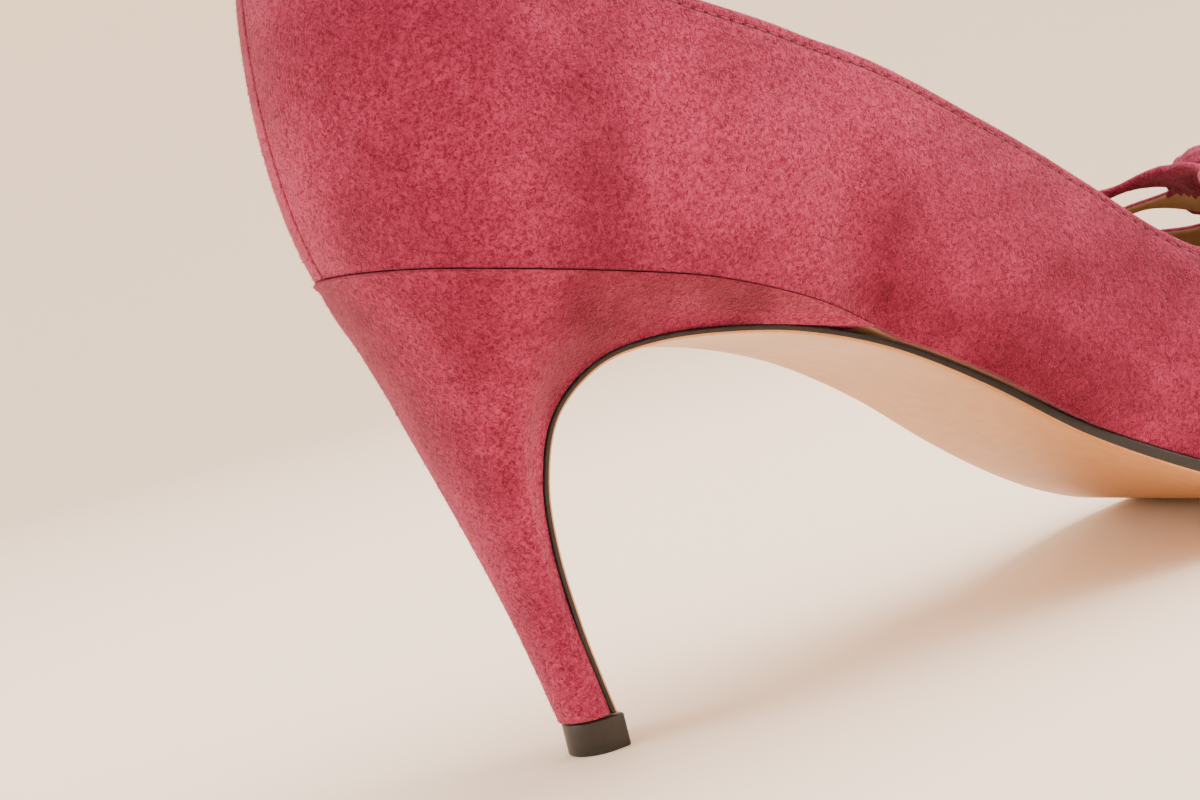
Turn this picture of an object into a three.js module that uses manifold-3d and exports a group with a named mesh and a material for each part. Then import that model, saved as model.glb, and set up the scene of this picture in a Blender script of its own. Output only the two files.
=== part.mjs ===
import * as THREE from 'three';
import { mergeVertices } from 'three/addons/utils/BufferGeometryUtils.js';
import Module from 'manifold-3d';

const wasm = await Module();
wasm.setup();

// A right-foot court shoe of suede with a covered stiletto heel.
// X runs from heel to toe, Y to the inner side of the foot, Z up, in millimetres.
// The floor is Z = 0 and the rear of the counter is X = 0 until the last lines,
// which move the origin to the middle of the shoe's box, on the floor.

// Driving sizes
const shoeLength = 236;
const seatHeight = 76.8;
const backHeight = 54;
const instepHeight = 62;
const ballHalf = 34;
const seatHalf = 24.2;
const toeSpring = 5.2;
const toeRound = 17;
const seatRound = 22;
const counterBulge = 8;
const toeBulge = 3.2;

// Thicknesses and clearances
const upperWall = 2.0;
const soleThickness = 2.4;
const insoleThickness = 1.6;
const soleLip = 1.0;
const edgeBevel = 0.35;
const gap = 0.3;

// Top piece under the heel
const liftHeight = 5;
const liftHalf = 4.9;
const liftDepth = 7.6;
const liftLip = 0.8;
const liftOverhang = 0.35;

// Heel
const wingEnd = 78.5;
const seamFade = 10;
const heelInset = 0.45;
const waistOverhang = 3;
const baseWindow = 9;

// Straps and slits at the throat, and the knot that gathers the straps
const firstStrap = 2.5;
const secondStrap = 3.5;
const firstSlit = 3.0;
const secondSlit = 4.8;
const throatShare = 0.6865;
const throatX = shoeLength * throatShare;
const throatHalf = 16;
const throatFall = 8.2;
const slitInner = 3.4;
const slitLength = 17;
const knotLength = 22;
const knotWidth = 17;
const knotHeight = 9.5;
const knotSink = 2.6;
const knotBehind = 0.6;

// Sole line from the toe under the arch and down the heel breast.
// along: share of shoeLength. up: share of seatHeight. spring: share of toeSpring.
// lateral, medial: shares of ballHalf. thick: share of soleThickness.
const soleRows = [
  { along: 1.000, up: 0.000, spring: 1.00, lateral: 0.350, medial: 0.370, thick: 1.00 },
  { along: 0.958, up: 0.000, spring: 0.56, lateral: 0.515, medial: 0.550, thick: 1.00 },
  { along: 0.898, up: 0.000, spring: 0.19, lateral: 0.706, medial: 0.750, thick: 1.00 },
  { along: 0.830, up: 0.000, spring: 0.00, lateral: 0.876, medial: 0.912, thick: 1.00 },
  { along: 0.763, up: 0.000, spring: 0.00, lateral: 0.970, medial: 1.000, thick: 1.00 },
  { along: 0.703, up: 0.006, spring: 0.00, lateral: 0.976, medial: 0.988, thick: 1.00 },
  { along: 0.644, up: 0.044, spring: 0.00, lateral: 0.930, medial: 0.926, thick: 1.00 },
  { along: 0.585, up: 0.116, spring: 0.00, lateral: 0.859, medial: 0.824, thick: 1.00 },
  { along: 0.525, up: 0.214, spring: 0.00, lateral: 0.770, medial: 0.688, thick: 0.95 },
  { along: 0.466, up: 0.333, spring: 0.00, lateral: 0.670, medial: 0.565, thick: 0.85 },
  { along: 0.407, up: 0.480, spring: 0.00, lateral: 0.594, medial: 0.512, thick: 0.72 },
  { along: 0.347, up: 0.602, spring: 0.00, lateral: 0.544, medial: 0.494, thick: 0.60 },
  { along: 0.288, up: 0.680, spring: 0.00, lateral: 0.515, medial: 0.485, thick: 0.55 },
  { along: 0.233, up: 0.721, spring: 0.00, lateral: 0.494, medial: 0.470, thick: 0.50 },
  { along: 0.186, up: 0.737, spring: 0.00, lateral: 0.447, medial: 0.430, thick: 0.48 },
  { along: 0.150, up: 0.721, spring: 0.00, lateral: 0.388, medial: 0.370, thick: 0.45 },
  { along: 0.121, up: 0.651, spring: 0.00, lateral: 0.318, medial: 0.306, thick: 0.42 },
  { along: 0.1085, up: 0.534, spring: 0.00, lateral: 0.253, medial: 0.244, thick: 0.42 },
  { along: 0.107, up: 0.404, spring: 0.00, lateral: 0.206, medial: 0.203, thick: 0.42 },
  { along: 0.112, up: 0.260, spring: 0.00, lateral: 0.168, medial: 0.168, thick: 0.42 },
  { along: 0.118, up: 0.150, spring: 0.00, lateral: 0.147, medial: 0.147, thick: 0.42 },
  { along: 0.1225, up: (liftHeight + gap) / seatHeight, spring: 0.00,
    lateral: liftHalf / ballHalf, medial: liftHalf / ballHalf, thick: 0.42 },
];

// Seam between heel and upper. lateral, medial: shares of seatHalf.
const seamRows = [
  { along: 0.000, up: 1.013, lateral: 0.890, medial: 0.890 },
  { along: 0.042, up: 0.981, lateral: 0.930, medial: 0.925 },
  { along: 0.085, up: 0.944, lateral: 0.975, medial: 0.960 },
  { along: 0.148, up: 0.896, lateral: 1.000, medial: 0.980 },
  { along: 0.212, up: 0.842, lateral: 0.995, medial: 0.965 },
  { along: 0.263, up: 0.781, lateral: 0.960, medial: 0.915 },
  { along: 0.305, up: 0.718, lateral: 0.895, medial: 0.835 },
  { along: 0.339, up: 0.651, lateral: 0.800, medial: 0.740 },
  { along: 0.380, up: 0.540, lateral: 0.780, medial: 0.720 },
];

// Ridge of the instep, as shares of instepHeight above the feather line
const ridgeRows = [
  { along: 0.190, up: 1.645 },
  { along: 0.297, up: 1.520 },
  { along: 0.381, up: 1.400 },
  { along: 0.466, up: 1.260 },
  { along: 0.534, up: 1.130 },
  { along: 0.614, up: 1.030 },
  { along: 0.682, up: 0.942 },
  { along: 0.742, up: 0.768 },
  { along: 0.805, up: 0.561 },
  { along: 0.869, up: 0.426 },
];

// Topline, as shares of backHeight above the feather line
const toplineRows = [
  { along: 0.000, up: 1.000 },
  { along: 0.064, up: 0.980 },
  { along: 0.127, up: 0.900 },
  { along: 0.191, up: 0.815 },
  { along: 0.246, up: 0.775 },
  { along: 0.314, up: 0.790 },
  { along: 0.373, up: 0.830 },
  { along: 0.426, up: 0.840 },
  { along: 0.477, up: 0.845 },
  { along: 0.521, up: 0.805 },
  { along: 0.568, up: 0.725 },
  { along: 0.602, up: 0.720 },
  { along: 0.631, up: 0.870 },
  { along: 0.6525, up: 1.005 },
  { along: 0.674, up: 1.045 },
  { along: 0.690, up: 1.110 },
];

// Fullest outline of the last, which pulls each rib outwards. lateral, medial: shares of ballHalf.
const bodyRows = [
  { along: 0.00, lateral: 0.860, medial: 0.850 },
  { along: 0.10, lateral: 0.890, medial: 0.880 },
  { along: 0.20, lateral: 0.900, medial: 0.885 },
  { along: 0.30, lateral: 0.880, medial: 0.855 },
  { along: 0.40, lateral: 0.870, medial: 0.825 },
  { along: 0.46, lateral: 0.885, medial: 0.835 },
  { along: 0.52, lateral: 0.930, medial: 0.880 },
  { along: 0.60, lateral: 1.030, medial: 1.010 },
  { along: 0.68, lateral: 1.110, medial: 1.120 },
  { along: 0.76, lateral: 1.105, medial: 1.135 },
  { along: 0.84, lateral: 0.980, medial: 1.020 },
  { along: 0.90, lateral: 0.820, medial: 0.860 },
  { along: 0.96, lateral: 0.640, medial: 0.670 },
  { along: 1.00, lateral: 0.520, medial: 0.540 },
];

// Shape of each rib of the last between feather line and ridge.
// rise: share of instepHeight. hold: share of the way out to the fullest outline.
// lean: share of the ridge's own slope that the crown of the rib follows.
const ribRows = [
  { along: 0.000, rise: 0.403, hold: 0.845, lean: 0.0 },
  { along: 0.127, rise: 0.419, hold: 0.800, lean: 0.0 },
  { along: 0.254, rise: 0.419, hold: 0.720, lean: 0.0 },
  { along: 0.400, rise: 0.419, hold: 0.635, lean: 0.1 },
  { along: 0.508, rise: 0.403, hold: 0.580, lean: 0.6 },
  { along: 0.636, rise: 0.339, hold: 0.540, lean: 1.0 },
  { along: 0.763, rise: 0.290, hold: 0.530, lean: 1.0 },
  { along: 0.890, rise: 0.242, hold: 0.540, lean: 1.0 },
  { along: 1.000, rise: 0.218, hold: 0.560, lean: 1.0 },
];

// Rows of the heel from its tip to the seat. backX: share of seatRound.
// backZ: share of seatHeight. front: place on the sole line, in rows.
// half: share of seatHalf. round: share of the row that curves. bend: share of the seam's curve.
const lastSoleRow = soleRows.length - 1;
const breastRow = 14;
const heelRows = [
  { backX: 0.985, backZ: (liftHeight + gap) / seatHeight, front: lastSoleRow,
    half: liftHalf / seatHalf, round: 0.80, bend: 0.0 },
  { backX: 0.880, backZ: 0.234, front: 19.0, half: 0.245, round: 0.74, bend: 0.0 },
  { backX: 0.800, backZ: 0.340, front: 18.4, half: 0.293, round: 0.70, bend: 0.0 },
  { backX: 0.715, backZ: 0.443, front: 17.8, half: 0.360, round: 0.66, bend: 0.0 },
  { backX: 0.610, backZ: 0.560, front: 17.0, half: 0.455, round: 0.62, bend: 0.0 },
  { backX: 0.510, backZ: 0.665, front: 16.1, half: 0.575, round: 0.58, bend: 0.0 },
  { backX: 0.412, backZ: 0.765, front: 15.2, half: 0.700, round: 0.55, bend: 0.05 },
  { backX: 0.310, backZ: 0.857, front: 14.1, half: 0.815, round: 0.48, bend: 0.20 },
  { backX: 0.205, backZ: 0.935, front: 12.8, half: 0.905, round: 0.38, bend: 0.50 },
];

// Curve helpers
function mix(a, b, t) {
  return a + (b - a) * t;
}

function ease(t) {
  const s = Math.min(Math.max(t, 0), 1);
  return s * s * (3 - 2 * s);
}

function roundEnd(distance, radius) {
  const t = 1 - Math.min(Math.max(distance / radius, 0), 1);
  return Math.sqrt(1 - t * t);
}

function slopeAt(rows, key, i) {
  const a = rows[Math.max(i - 1, 0)];
  const b = rows[Math.min(i + 1, rows.length - 1)];
  return (b[key] - a[key]) / (b.along - a.along);
}

function tableAt(rows, key, along) {
  let i = 0;
  while (i < rows.length - 2 && along > rows[i + 1].along) i += 1;
  const a = rows[i];
  const b = rows[i + 1];
  const span = b.along - a.along;
  const t = (along - a.along) / span;
  if (t < 0) return a[key];
  if (t > 1) return b[key];
  const t2 = t * t;
  const t3 = t2 * t;
  return (2 * t3 - 3 * t2 + 1) * a[key] + (t3 - 2 * t2 + t) * span * slopeAt(rows, key, i)
    + (3 * t2 - 2 * t3) * b[key] + (t3 - t2) * span * slopeAt(rows, key, i + 1);
}

function rowAt(rows, key, place) {
  const i = Math.min(Math.floor(place), rows.length - 2);
  const t = place - i;
  const at = (k) => rows[Math.min(Math.max(k, 0), rows.length - 1)][key];
  const a = at(i - 1);
  const b = at(i);
  const c = at(i + 1);
  const d = at(i + 2);
  return b + 0.5 * t * (c - a + t * (2 * a - 5 * b + 4 * c - d + t * (3 * (b - c) + d - a)));
}

// Sole line
function soleLine(place) {
  const x = shoeLength * rowAt(soleRows, 'along', place);
  const rest = seatHeight * rowAt(soleRows, 'up', place);
  const z = Math.max(rest + toeSpring * rowAt(soleRows, 'spring', place), 0);
  return new THREE.Vector2(x, z);
}

function soleNormal(place) {
  const step = 0.02;
  const a = soleLine(Math.max(place - step, 0));
  const b = soleLine(Math.min(place + step, lastSoleRow));
  const along = b.sub(a).normalize();
  return new THREE.Vector2(along.y, -along.x);
}

function soleDepth(place) {
  return soleThickness * rowAt(soleRows, 'thick', place);
}

function soleHalf(side, place) {
  const key = side < 0 ? 'lateral' : 'medial';
  const end = roundEnd(shoeLength + soleLip - soleLine(place).x, toeRound);
  return ballHalf * rowAt(soleRows, key, place) * end;
}

function placeOf(x) {
  let low = 0;
  let high = breastRow;
  for (let k = 0; k < 30; k += 1) {
    const middle = (low + high) / 2;
    if (soleLine(middle).x > x) low = middle;
    else high = middle;
  }
  return low;
}

const steepest = 0.4;

function soleTop(x) {
  const place = placeOf(x);
  const normal = soleNormal(place);
  return soleLine(place).y + soleDepth(place) / Math.max(normal.y, steepest);
}

// Feather line, where the upper meets the heel and the sole
function seamHeight(x) {
  return seatHeight * tableAt(seamRows, 'up', x / shoeLength);
}

function featherHeight(x) {
  const board = soleTop(x) + gap;
  return x < wingEnd + seamFade ? Math.max(seamHeight(x), board) : board;
}

const featherBack = 3;
const featherFront = shoeLength - soleLip;

// The upper overhangs the narrow waist of the sole between the heel and the ball
const waistSpan = { from: 0.26, full: 0.34, fading: 0.40, to: 0.54 };
const seatEnd = { from: 0.30, to: 0.36 };

function shareBetween(x, from, to) {
  return ease((x / shoeLength - from) / (to - from));
}

function overhang(x) {
  const rise = shareBetween(x, waistSpan.from, waistSpan.full);
  const fall = shareBetween(x, waistSpan.fading, waistSpan.to);
  return waistOverhang * rise * (1 - fall);
}

function featherHalf(side, x) {
  const key = side < 0 ? 'lateral' : 'medial';
  const seat = seatHalf * tableAt(seamRows, key, x / shoeLength) * roundEnd(x - featherBack, seatRound);
  const fore = ballHalf * rowAt(soleRows, key, placeOf(x)) - soleLip + overhang(x);
  const share = shareBetween(x, seatEnd.from, seatEnd.to);
  return mix(seat, fore, share) * roundEnd(featherFront - x, toeRound - soleLip);
}

// Feather line with its corners smoothed, which carries the heights of wall, topline and ridge
function smoothedHeight(x) {
  const steps = 3;
  let sum = 0;
  for (let k = -steps; k <= steps; k += 1) {
    sum += featherHeight(x + baseWindow * k / steps);
  }
  return sum / (2 * steps + 1);
}

const baseStep = 0.5;
const baseHeights = [];
for (let x = 0; x <= shoeLength + baseStep; x += baseStep) {
  baseHeights.push(smoothedHeight(x));
}

function baseHeight(x) {
  const i = Math.min(Math.max(Math.floor(x / baseStep), 0), baseHeights.length - 2);
  return mix(baseHeights[i], baseHeights[i + 1], x / baseStep - i);
}

// Last: ribs run from the feather line over the fullest outline to the ridge
const ridgeBack = shoeLength * ridgeRows[0].along;
const ridgeFront = shoeLength * ridgeRows[ridgeRows.length - 1].along;

function bodyOutline(side, turn) {
  const key = side < 0 ? 'lateral' : 'medial';
  const back = featherBack - counterBulge;
  const front = featherFront + toeBulge;
  const x = mix(back, front, (1 - Math.cos(Math.PI * turn)) / 2);
  const ends = roundEnd(x - back, seatRound + counterBulge) * roundEnd(front - x, toeRound + toeBulge);
  return { x, y: side * ballHalf * tableAt(bodyRows, key, x / shoeLength) * ends };
}

function ridgeHeight(x) {
  return baseHeight(x) + instepHeight * tableAt(ridgeRows, 'up', x / shoeLength);
}

function ribAt(side, turn) {
  const x = mix(featherBack, featherFront, (1 - Math.cos(Math.PI * turn)) / 2);
  const along = x / shoeLength;
  const onEnd = turn <= 0 || turn >= 1;
  const foot = new THREE.Vector3(x, onEnd ? 0 : side * featherHalf(side, x), featherHeight(x));
  const xr = mix(ridgeBack, ridgeFront, (x - featherBack) / (featherFront - featherBack));
  const ridge = new THREE.Vector3(xr, 0, ridgeHeight(xr));
  const body = bodyOutline(side, turn);
  const wall = new THREE.Vector3(body.x, onEnd ? 0 : body.y, baseHeight(x));
  wall.z += instepHeight * tableAt(ribRows, 'rise', along);
  const crown = ridge.clone().lerp(new THREE.Vector3(wall.x, wall.y, ridge.z), tableAt(ribRows, 'hold', along));
  const slope = ridgeHeight(xr) - ridgeHeight(xr - 1);
  crown.z += tableAt(ribRows, 'lean', along) * slope * (crown.x - ridge.x);
  return new THREE.CubicBezierCurve3(foot, wall, crown, ridge);
}

function toplineHeight(x) {
  return baseHeight(x) + backHeight * tableAt(toplineRows, 'up', x / shoeLength);
}

function topOf(rib) {
  if (rib.v3.x >= throatX) return 1;
  let low = 0.1;
  let high = 1;
  const over = (t) => {
    const p = rib.getPoint(t);
    return p.z - toplineHeight(p.x);
  };
  if (over(1) < 0) return 1;
  for (let k = 0; k < 30; k += 1) {
    const middle = (low + high) / 2;
    if (over(middle) < 0) low = middle;
    else high = middle;
  }
  return low;
}

function lastPoint(side, turn, t) {
  return ribAt(side, turn).getPoint(t);
}

function lastNormal(side, turn, t, onMiddle) {
  const step = 0.004;
  const t0 = Math.max(t - step, 0);
  const t1 = Math.min(t + step, 1);
  const up = lastPoint(side, turn, t1).sub(lastPoint(side, turn, t0));
  const u0 = Math.max(turn - step, 0);
  const u1 = Math.min(turn + step, 1);
  const forward = lastPoint(side, u1, t).sub(lastPoint(side, u0, t));
  const normal = side < 0 ? forward.cross(up) : up.cross(forward);
  if (onMiddle) normal.y = 0;
  if (t === 0) normal.z = 0;
  return normal.normalize();
}

// Mesh helpers
function quad(list, a, b, c, d) {
  list.push(a, b, c, a, c, d);
}

function bodyOf(points) {
  const geometry = new THREE.BufferGeometry();
  geometry.setAttribute('position', new THREE.Float32BufferAttribute(points.flatMap((p) => [p.x, p.y, p.z]), 3));
  const merged = mergeVertices(geometry, 1e-3);
  const index = [];
  for (let i = 0; i < merged.index.count; i += 3) {
    const [a, b, c] = [0, 1, 2].map((k) => merged.index.getX(i + k));
    if (a !== b && b !== c && a !== c) index.push(a, b, c);
  }
  merged.setIndex(index);
  return merged;
}

function plainGeometry(geometry) {
  geometry.deleteAttribute('normal');
  geometry.deleteAttribute('uv');
  return mergeVertices(geometry, 1e-4);
}

function solidOf(geometry) {
  const vertProperties = new Float32Array(geometry.attributes.position.array);
  const triVerts = new Uint32Array(geometry.index.array);
  return new wasm.Manifold(new wasm.Mesh({ numProp: 3, vertProperties, triVerts }));
}

function geometryOf(solid) {
  const mesh = solid.getMesh();
  const geometry = new THREE.BufferGeometry();
  geometry.setAttribute('position', new THREE.BufferAttribute(new Float32Array(mesh.vertProperties), 3));
  geometry.setIndex(new THREE.BufferAttribute(new Uint32Array(mesh.triVerts), 1));
  return geometry;
}

// A body through rings of equal length, closed at both ends by strips between ring points.
// turned: true where the rings run the other way round.
function loft(rings, turned) {
  const list = [];
  const n = rings[0].length;
  const face = (a, b, c, d) => (turned ? quad(list, d, c, b, a) : quad(list, a, b, c, d));
  for (let i = 0; i < rings.length - 1; i += 1) {
    for (let k = 0; k < n; k += 1) {
      const m = (k + 1) % n;
      face(rings[i][k], rings[i][m], rings[i + 1][m], rings[i + 1][k]);
    }
  }
  const first = rings[0];
  const last = rings[rings.length - 1];
  for (let k = 0; k < Math.floor(n / 2) - (n % 2 ? 0 : 1); k += 1) {
    const back = n - 1 - k;
    face(first[k], first[back], first[back - 1], first[k + 1]);
    face(last[k], last[k + 1], last[back - 1], last[back]);
  }
  return bodyOf(list);
}

// Upper
const backTurns = 22;
const throatTurns = 18;
const foreTurns = 18;
const wallSteps = 11;
const throatFrom = 0.47;
const throatTo = 0.60;

function ribTurns() {
  const turns = [];
  for (let k = 0; k < backTurns; k += 1) turns.push(mix(0, throatFrom, k / backTurns));
  for (let k = 0; k < throatTurns; k += 1) turns.push(mix(throatFrom, throatTo, k / throatTurns));
  for (let k = 0; k <= foreTurns; k += 1) turns.push(mix(throatTo, 1, k / foreTurns));
  return turns;
}

function makeUpper() {
  const list = [];
  const turns = ribTurns();
  for (const side of [-1, 1]) {
    const ribs = turns.map((turn) => {
      const top = topOf(ribAt(side, turn));
      const outer = [];
      const inner = [];
      for (let j = 0; j <= wallSteps; j += 1) {
        const t = top * j / wallSteps;
        const onMiddle = turn === 0 || turn === 1 || t === 1;
        const p = lastPoint(side, turn, t);
        outer.push(p);
        inner.push(p.clone().addScaledVector(lastNormal(side, turn, t, onMiddle), -upperWall));
      }
      return { outer, inner, open: top < 1 };
    });
    const face = (a, b, c, d) => (side < 0 ? quad(list, a, b, c, d) : quad(list, d, c, b, a));
    for (let i = 0; i < ribs.length - 1; i += 1) {
      const a = ribs[i];
      const b = ribs[i + 1];
      for (let j = 0; j < wallSteps; j += 1) {
        face(a.outer[j], b.outer[j], b.outer[j + 1], a.outer[j + 1]);
        face(a.inner[j + 1], b.inner[j + 1], b.inner[j], a.inner[j]);
      }
      face(a.inner[0], b.inner[0], b.outer[0], a.outer[0]);
      if (a.open || b.open) {
        face(a.outer[wallSteps], b.outer[wallSteps], b.inner[wallSteps], a.inner[wallSteps]);
      }
    }
  }
  let solid = solidOf(bodyOf(list));
  for (const side of [-1, 1]) {
    for (const slit of slits()) solid = solid.subtract(slitCutter(side, slit));
  }
  return geometryOf(solid);
}

// Slits that part the straps from the vamp: crescents that run beside the throat's topline
function slits() {
  const inner = slitInner;
  const first = firstStrap + firstSlit / 2;
  const second = firstStrap + firstSlit + secondStrap + secondSlit / 2;
  return [
    { behind: first, inner, outer: inner + slitLength, width: firstSlit },
    { behind: second, inner, outer: inner + slitLength, width: secondSlit },
  ];
}

function slitCutter(side, slit) {
  const steps = 12;
  const blunt = 0.7;
  const edge = (k, way) => {
    const across = mix(slit.inner, slit.outer, k / steps);
    const middle = throatX + slit.behind - throatFall * (across / throatHalf) ** 2;
    const half = slit.width / 2 * Math.sin(Math.PI * k / steps) ** blunt;
    return new THREE.Vector2(middle + way * half, side * across);
  };
  const outline = [];
  for (let k = 0; k <= steps; k += 1) {
    outline.push(edge(k, 1));
  }
  for (let k = steps - 1; k > 0; k -= 1) {
    outline.push(edge(k, -1));
  }
  const geometry = new THREE.ExtrudeGeometry(new THREE.Shape(outline), { depth: instepHeight, bevelEnabled: false });
  geometry.translate(0, 0, instepHeight / 2);
  return solidOf(plainGeometry(geometry));
}

// Insole, which closes the upper underneath
function makeInsole() {
  const rings = [];
  const stations = 44;
  const inset = upperWall + 2 * gap;
  for (let k = 0; k <= stations; k += 1) {
    const turn = mix(0.045, 0.965, k / stations);
    const [left, right] = [-1, 1].map((side) => {
      const foot = lastPoint(side, turn, 0).addScaledVector(lastNormal(side, turn, 0, false), -inset);
      foot.z = featherHeight(foot.x);
      return foot;
    });
    const lift = new THREE.Vector3(0, 0, insoleThickness);
    rings.push([right, right.clone().add(lift), left.clone().add(lift), left]);
  }
  return loft(rings, false);
}

// Outsole, from the toe under the arch and down the heel breast
function solePlaces() {
  const places = [];
  const toeSteps = 9;
  for (let k = 1; k <= toeSteps; k += 1) places.push(1.15 * (k / toeSteps) ** 2);
  for (let place = 1.5; place < lastSoleRow; place += 0.5) places.push(place);
  places.push(lastSoleRow);
  return places;
}

function soleBody(room, spread) {
  const rings = solePlaces().map((place) => {
    const normal = soleNormal(place);
    const base = soleLine(place).addScaledVector(normal, -spread);
    const depth = soleDepth(place) + spread + room;
    const left = -soleHalf(-1, place) - spread;
    const right = soleHalf(1, place) + spread;
    const at = (y, h) => new THREE.Vector3(base.x + normal.x * h, y, base.y + normal.y * h);
    return [
      at(left + edgeBevel, 0), at(left, edgeBevel), at(left, depth - edgeBevel), at(left + edgeBevel, depth),
      at(right - edgeBevel, depth), at(right, depth - edgeBevel), at(right, edgeBevel), at(right - edgeBevel, 0),
    ];
  });
  for (const point of rings[rings.length - 1]) point.z = liftHeight + gap - spread;
  return loft(rings, false);
}

// Heel block, between the sole's flap and the seat
const heelRoundSteps = 7;
const heelSideSteps = 7;
const cutterSpread = 3;

function heelFront(place) {
  return soleLine(place).addScaledVector(soleNormal(place), soleDepth(place) / 2);
}

function heelShare(k, round) {
  if (k <= heelRoundSteps) return round * (1 - Math.cos(Math.PI / 2 * k / heelRoundSteps));
  return mix(round, 1, (k - heelRoundSteps) / heelSideSteps);
}

function heelRing(row) {
  const front = heelFront(row.front);
  if (row.backZ * seatHeight < liftHeight + 2 * gap) front.y = liftHeight + gap;
  const back = new THREE.Vector2(seatRound * row.backX, seatHeight * row.backZ);
  const sides = [];
  for (const side of [-1, 1]) {
    const frontHalf = soleHalf(side, row.front) - heelInset;
    const sidePoints = [];
    for (let k = 0; k <= heelRoundSteps + heelSideSteps; k += 1) {
      const c = heelShare(k, row.round);
      const p = back.clone().lerp(front, c);
      const chordX = mix(back.x, wingEnd, c);
      const chord = mix(seamHeight(back.x), seamHeight(wingEnd), c);
      p.y += row.bend * (seamHeight(chordX) - chord);
      const body = mix(seatHalf * row.half, frontHalf, ease((c - row.round) / (1 - row.round)));
      sidePoints.push(new THREE.Vector3(p.x, side * body * roundEnd(c, row.round), p.y));
    }
    sides.push(sidePoints);
  }
  return [...sides[0].reverse(), ...sides[1].slice(1)];
}

function seatRing() {
  const sides = [];
  const round = seatRound / (wingEnd - featherBack);
  for (const side of [-1, 1]) {
    const points = [];
    for (let k = 0; k <= heelRoundSteps + heelSideSteps; k += 1) {
      const x = mix(featherBack, wingEnd, heelShare(k, round));
      points.push(new THREE.Vector3(x, side * featherHalf(side, x), featherHeight(x) - gap));
    }
    sides.push(points);
  }
  return [...sides[0].reverse(), ...sides[1].slice(1)];
}

function makeHeel() {
  const block = loft([...heelRows.map(heelRing), seatRing()], true);
  return geometryOf(solidOf(block).subtract(solidOf(soleBody(gap, cutterSpread))));
}

// Top piece
function makeTopPiece() {
  const front = soleLine(lastSoleRow).x + liftLip;
  const half = liftHalf + liftOverhang;
  const back = front - liftDepth;
  const shape = new THREE.Shape();
  shape.moveTo(front, -half);
  shape.lineTo(front, half);
  shape.lineTo(back + half, half);
  shape.absarc(back + half, 0, half, Math.PI / 2, Math.PI * 3 / 2, false);
  shape.lineTo(front, -half);
  const geometry = new THREE.ExtrudeGeometry(shape, { depth: liftHeight, bevelEnabled: false, curveSegments: 12 });
  return geometryOf(solidOf(plainGeometry(geometry)));
}

// Knot over the straps, seated on the ridge of the vamp
function shellOver(offset, depth) {
  const span = { from: 0.52, to: 0.74, low: 0.55 };
  const steps = 20;
  const count = 8;
  const rings = [];
  for (let i = 0; i <= steps; i += 1) {
    const turn = mix(span.from, span.to, i / steps);
    const top = [];
    const low = [];
    const add = (side, k) => {
      const t = mix(span.low, 1, k / count);
      const p = lastPoint(side, turn, t);
      const normal = lastNormal(side, turn, t, t === 1);
      top.push(p.clone().addScaledVector(normal, offset));
      low.push(p.clone().addScaledVector(normal, -depth));
    };
    for (let k = 0; k <= count; k += 1) {
      add(-1, k);
    }
    for (let k = count - 1; k >= 0; k -= 1) {
      add(1, k);
    }
    rings.push([...top, ...low.reverse()]);
  }
  return solidOf(loft(rings, true));
}

function makeKnot() {
  const reach = 4;
  const cutDepth = 8;
  const centre = throatX + knotLength / 2 - knotBehind;
  const rise = ridgeHeight(centre - reach) - ridgeHeight(centre + reach);
  const geometry = new THREE.SphereGeometry(1, 28, 18);
  geometry.scale(knotLength / 2, knotWidth / 2, knotHeight / 2 + knotSink);
  geometry.rotateY(Math.atan2(rise, 2 * reach));
  geometry.translate(centre, 0, ridgeHeight(centre) + knotHeight / 2 - knotSink);
  const ball = solidOf(plainGeometry(geometry));
  return geometryOf(ball.subtract(shellOver(gap, cutDepth)));
}

// Materials
const suede = new THREE.MeshStandardMaterial({ color: 0xb8405f, roughness: 0.95, metalness: 0 });
const suedeKnot = new THREE.MeshStandardMaterial({ color: 0xad3a57, roughness: 0.95, metalness: 0 });
const soleLeather = new THREE.MeshStandardMaterial({ color: 0xd9b48a, roughness: 0.55, metalness: 0 });
const lining = new THREE.MeshStandardMaterial({ color: 0xb98a5e, roughness: 0.7, metalness: 0 });
const liftRubber = new THREE.MeshStandardMaterial({ color: 0x231f1e, roughness: 0.5, metalness: 0 });

// Assembly
const shoe = new THREE.Group();

function addPiece(name, geometry, material) {
  const mesh = new THREE.Mesh(geometry, material);
  mesh.name = name;
  shoe.add(mesh);
  return mesh;
}

addPiece('upper', makeUpper(), suede);
addPiece('outsole', soleBody(0, 0), soleLeather);
addPiece('heel', makeHeel(), suede);
addPiece('top_piece', makeTopPiece(), liftRubber);
addPiece('insole', makeInsole(), lining);
addPiece('knot', makeKnot(), suedeKnot);

const box = new THREE.Box3().setFromObject(shoe);
const middle = box.getCenter(new THREE.Vector3());
shoe.position.set(-middle.x, -middle.y, -box.min.z);
shoe.updateMatrixWorld(true);

export default shoe;
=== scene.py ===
"""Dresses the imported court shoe: suede, lining, sole leather, stitching, nap, stage and camera."""
import math

import bmesh
import bpy
import numpy as np
from mathutils import Matrix, Vector
from mathutils.kdtree import KDTree


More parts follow.
